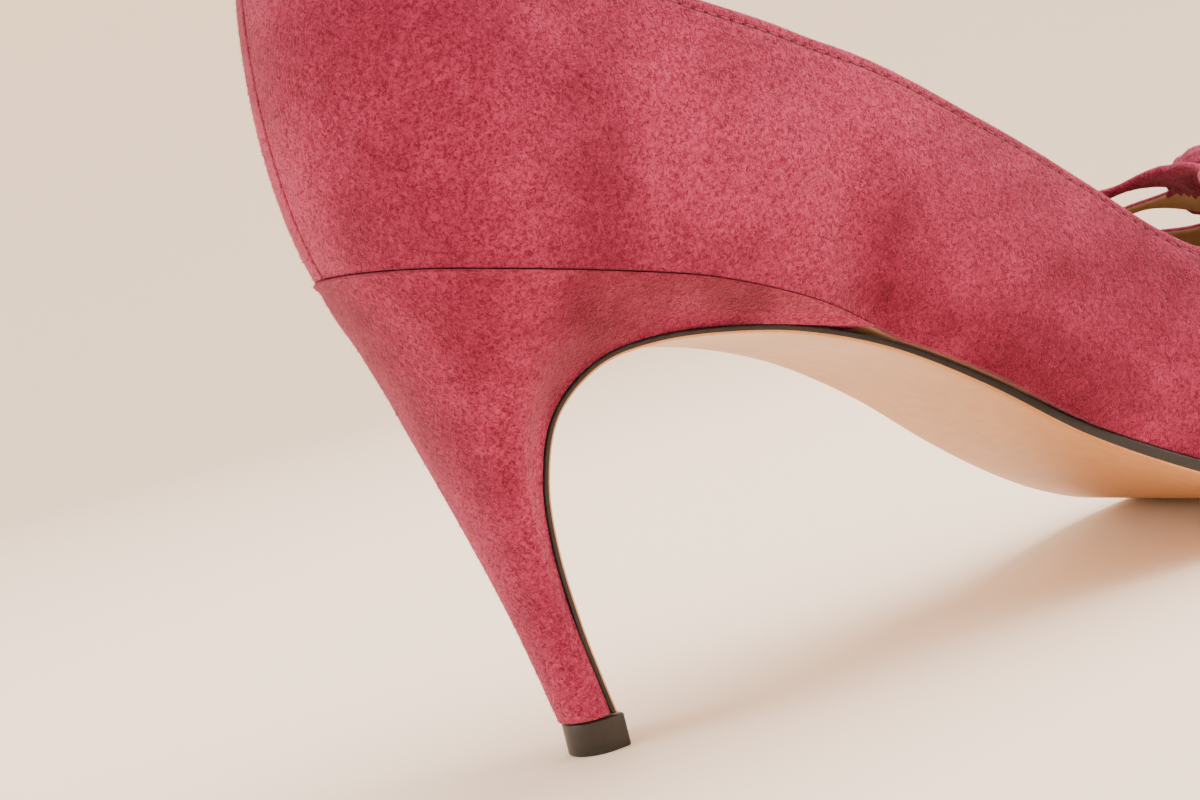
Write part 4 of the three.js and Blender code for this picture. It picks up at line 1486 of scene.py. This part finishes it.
def camera_turn():
    level = math.cos(CAMERA_PITCH)
    forward = Vector((math.sin(CAMERA_YAW) * level, math.cos(CAMERA_YAW) * level, math.sin(CAMERA_PITCH)))
    right = forward.cross(Vector((0, 0, 1))).normalized()
    up = right.cross(forward)
    turned_right = math.cos(CAMERA_ROLL) * right + math.sin(CAMERA_ROLL) * up
    turned_up = -math.sin(CAMERA_ROLL) * right + math.cos(CAMERA_ROLL) * up
    return Matrix((turned_right, turned_up, -forward)).transposed().to_4x4()


def area_light(name, place, aim, size, power, colour):
    data = bpy.data.lights.new(name, "AREA")
    data.shape = "DISK"
    data.size = size
    data.energy = power
    data.color = colour
    light = bpy.data.objects.new(name, data)
    light.location = place
    light.rotation_euler = (Vector(aim) - Vector(place)).to_track_quat("-Z", "Y").to_euler()
    bpy.context.scene.collection.objects.link(light)


FLOOR_REACH = 0.95
FLOOR_BEND = 0.45
BACKDROP_HEIGHT = 1.3
LIGHTS = (
    ("top", (0.25, 0.05, 0.95), (0.0, 0.0, 0.05), 0.8, (1.0, 0.95, 0.90)),
    ("side", (0.75, -0.55, 0.55), (0.0, 0.0, 0.03), 0.5, (1.0, 0.94, 0.88)),
    ("rim", (-0.85, 0.25, 0.45), (-0.05, 0.0, 0.06), 0.5, (1.0, 0.95, 0.92)),
)


def floor_paint(colour):
    made, tree, shader = new_material("floor_paint")
    if tree is None:
        return made
    cloud = noise(tree, node(tree, "ShaderNodeTexCoord").outputs["Object"], 3.0, detail=2.0)
    link(tree, blend_colours(tree, cloud, tinted(colour, 0.97), colour), shader.inputs["Base Color"])
    shader.inputs["Roughness"].default_value = 0.55
    shader.inputs["Specular IOR Level"].default_value = 0.25
    return made


def floor_bowl(colour):
    """Pale floor that turns up into a backdrop all round."""
    profile = [(reach, 0.0) for reach in (0.01, 0.1, 0.3, 0.6, FLOOR_REACH)]
    for angle in np.linspace(0, math.pi / 2, 17)[1:]:
        profile.append((FLOOR_REACH + FLOOR_BEND * math.sin(angle), FLOOR_BEND * (1 - math.cos(angle))))
    profile.append((FLOOR_REACH + FLOOR_BEND, BACKDROP_HEIGHT))
    around = 96
    turns = [2 * math.pi * k / around for k in range(around)]
    points = [(reach * math.cos(turn), reach * math.sin(turn), height)
              for reach, height in profile for turn in turns]
    faces = [face[::-1] for face in ring_faces(len(profile), around)] + [tuple(range(around))]
    mesh = bpy.data.meshes.new("floor")
    mesh.from_pydata(points, [], faces)
    mesh.polygons.foreach_set("use_smooth", np.ones(len(mesh.polygons), bool))
    mesh.materials.append(floor_paint(colour))
    floor = bpy.data.objects.new("floor", mesh)
    bpy.context.scene.collection.objects.link(floor)


def even_light(strength):
    world = bpy.data.worlds.new("room")
    world.use_nodes = True
    back = world.node_tree.nodes["Background"]
    back.inputs["Color"].default_value = (1.0, 0.965, 0.92, 1.0)
    back.inputs["Strength"].default_value = strength
    bpy.context.scene.world = world


def photo_camera():
    data = bpy.data.cameras.new("photo_camera")
    data.sensor_width = 36.0
    data.lens = CAMERA_LENS
    data.clip_start = 0.01
    camera = bpy.data.objects.new("photo_camera", data)
    camera.matrix_world = Matrix.Translation(CAMERA_FROM) @ camera_turn()
    bpy.context.scene.collection.objects.link(camera)
    bpy.context.scene.camera = camera


class SHOE_OT_stage(bpy.types.Operator):
    """Pale floor and backdrop, soft light and the camera."""
    bl_idname = "shoe.stage"
    bl_label = "Stage"

    def execute(self, context):
        stage = settings()[2]
        floor_bowl(tuple(stage.floor))
        even_light(stage.world)
        for name, place, aim, size, colour in LIGHTS:
            area_light(name + "_light", place, aim, size, getattr(stage, name), colour)
        photo_camera()
        return {"FINISHED"}


class SHOE_PT_panel(bpy.types.Panel):
    """Lists the shoe's pieces and settings."""
    bl_label = "Court shoe"
    bl_idname = "SHOE_PT_panel"
    bl_space_type = "VIEW_3D"
    bl_region_type = "UI"
    bl_category = "Shoe"

    def draw(self, context):
        for group in settings():
            for name in group.__annotations__:
                self.layout.prop(group, name)
        for operator in PIECES:
            self.layout.operator(operator.bl_idname)


PIECES = (SHOE_OT_upper, SHOE_OT_heel, SHOE_OT_outsole, SHOE_OT_insole, SHOE_OT_top_piece,
          SHOE_OT_knot, SHOE_OT_stitching, SHOE_OT_nap, SHOE_OT_stage)
GROUPS = (("shoe_sizes", ShoeSizes), ("shoe_colours", ShoeColours), ("shoe_stage", StageSettings))


def register():
    for name, group in GROUPS:
        bpy.utils.register_class(group)
        setattr(bpy.types.Scene, name, bpy.props.PointerProperty(type=group))
    for made in (*PIECES, SHOE_PT_panel):
        bpy.utils.register_class(made)


def unregister():
    for made in (SHOE_PT_panel, *reversed(PIECES)):
        bpy.utils.unregister_class(made)
    for name, group in reversed(GROUPS):
        delattr(bpy.types.Scene, name)
        bpy.utils.unregister_class(group)


def main():
    register()
    for operator in PIECES:
        family, name = operator.bl_idname.split(".")
        getattr(getattr(bpy.ops, family), name)()


if __name__ == "__main__":
    main()
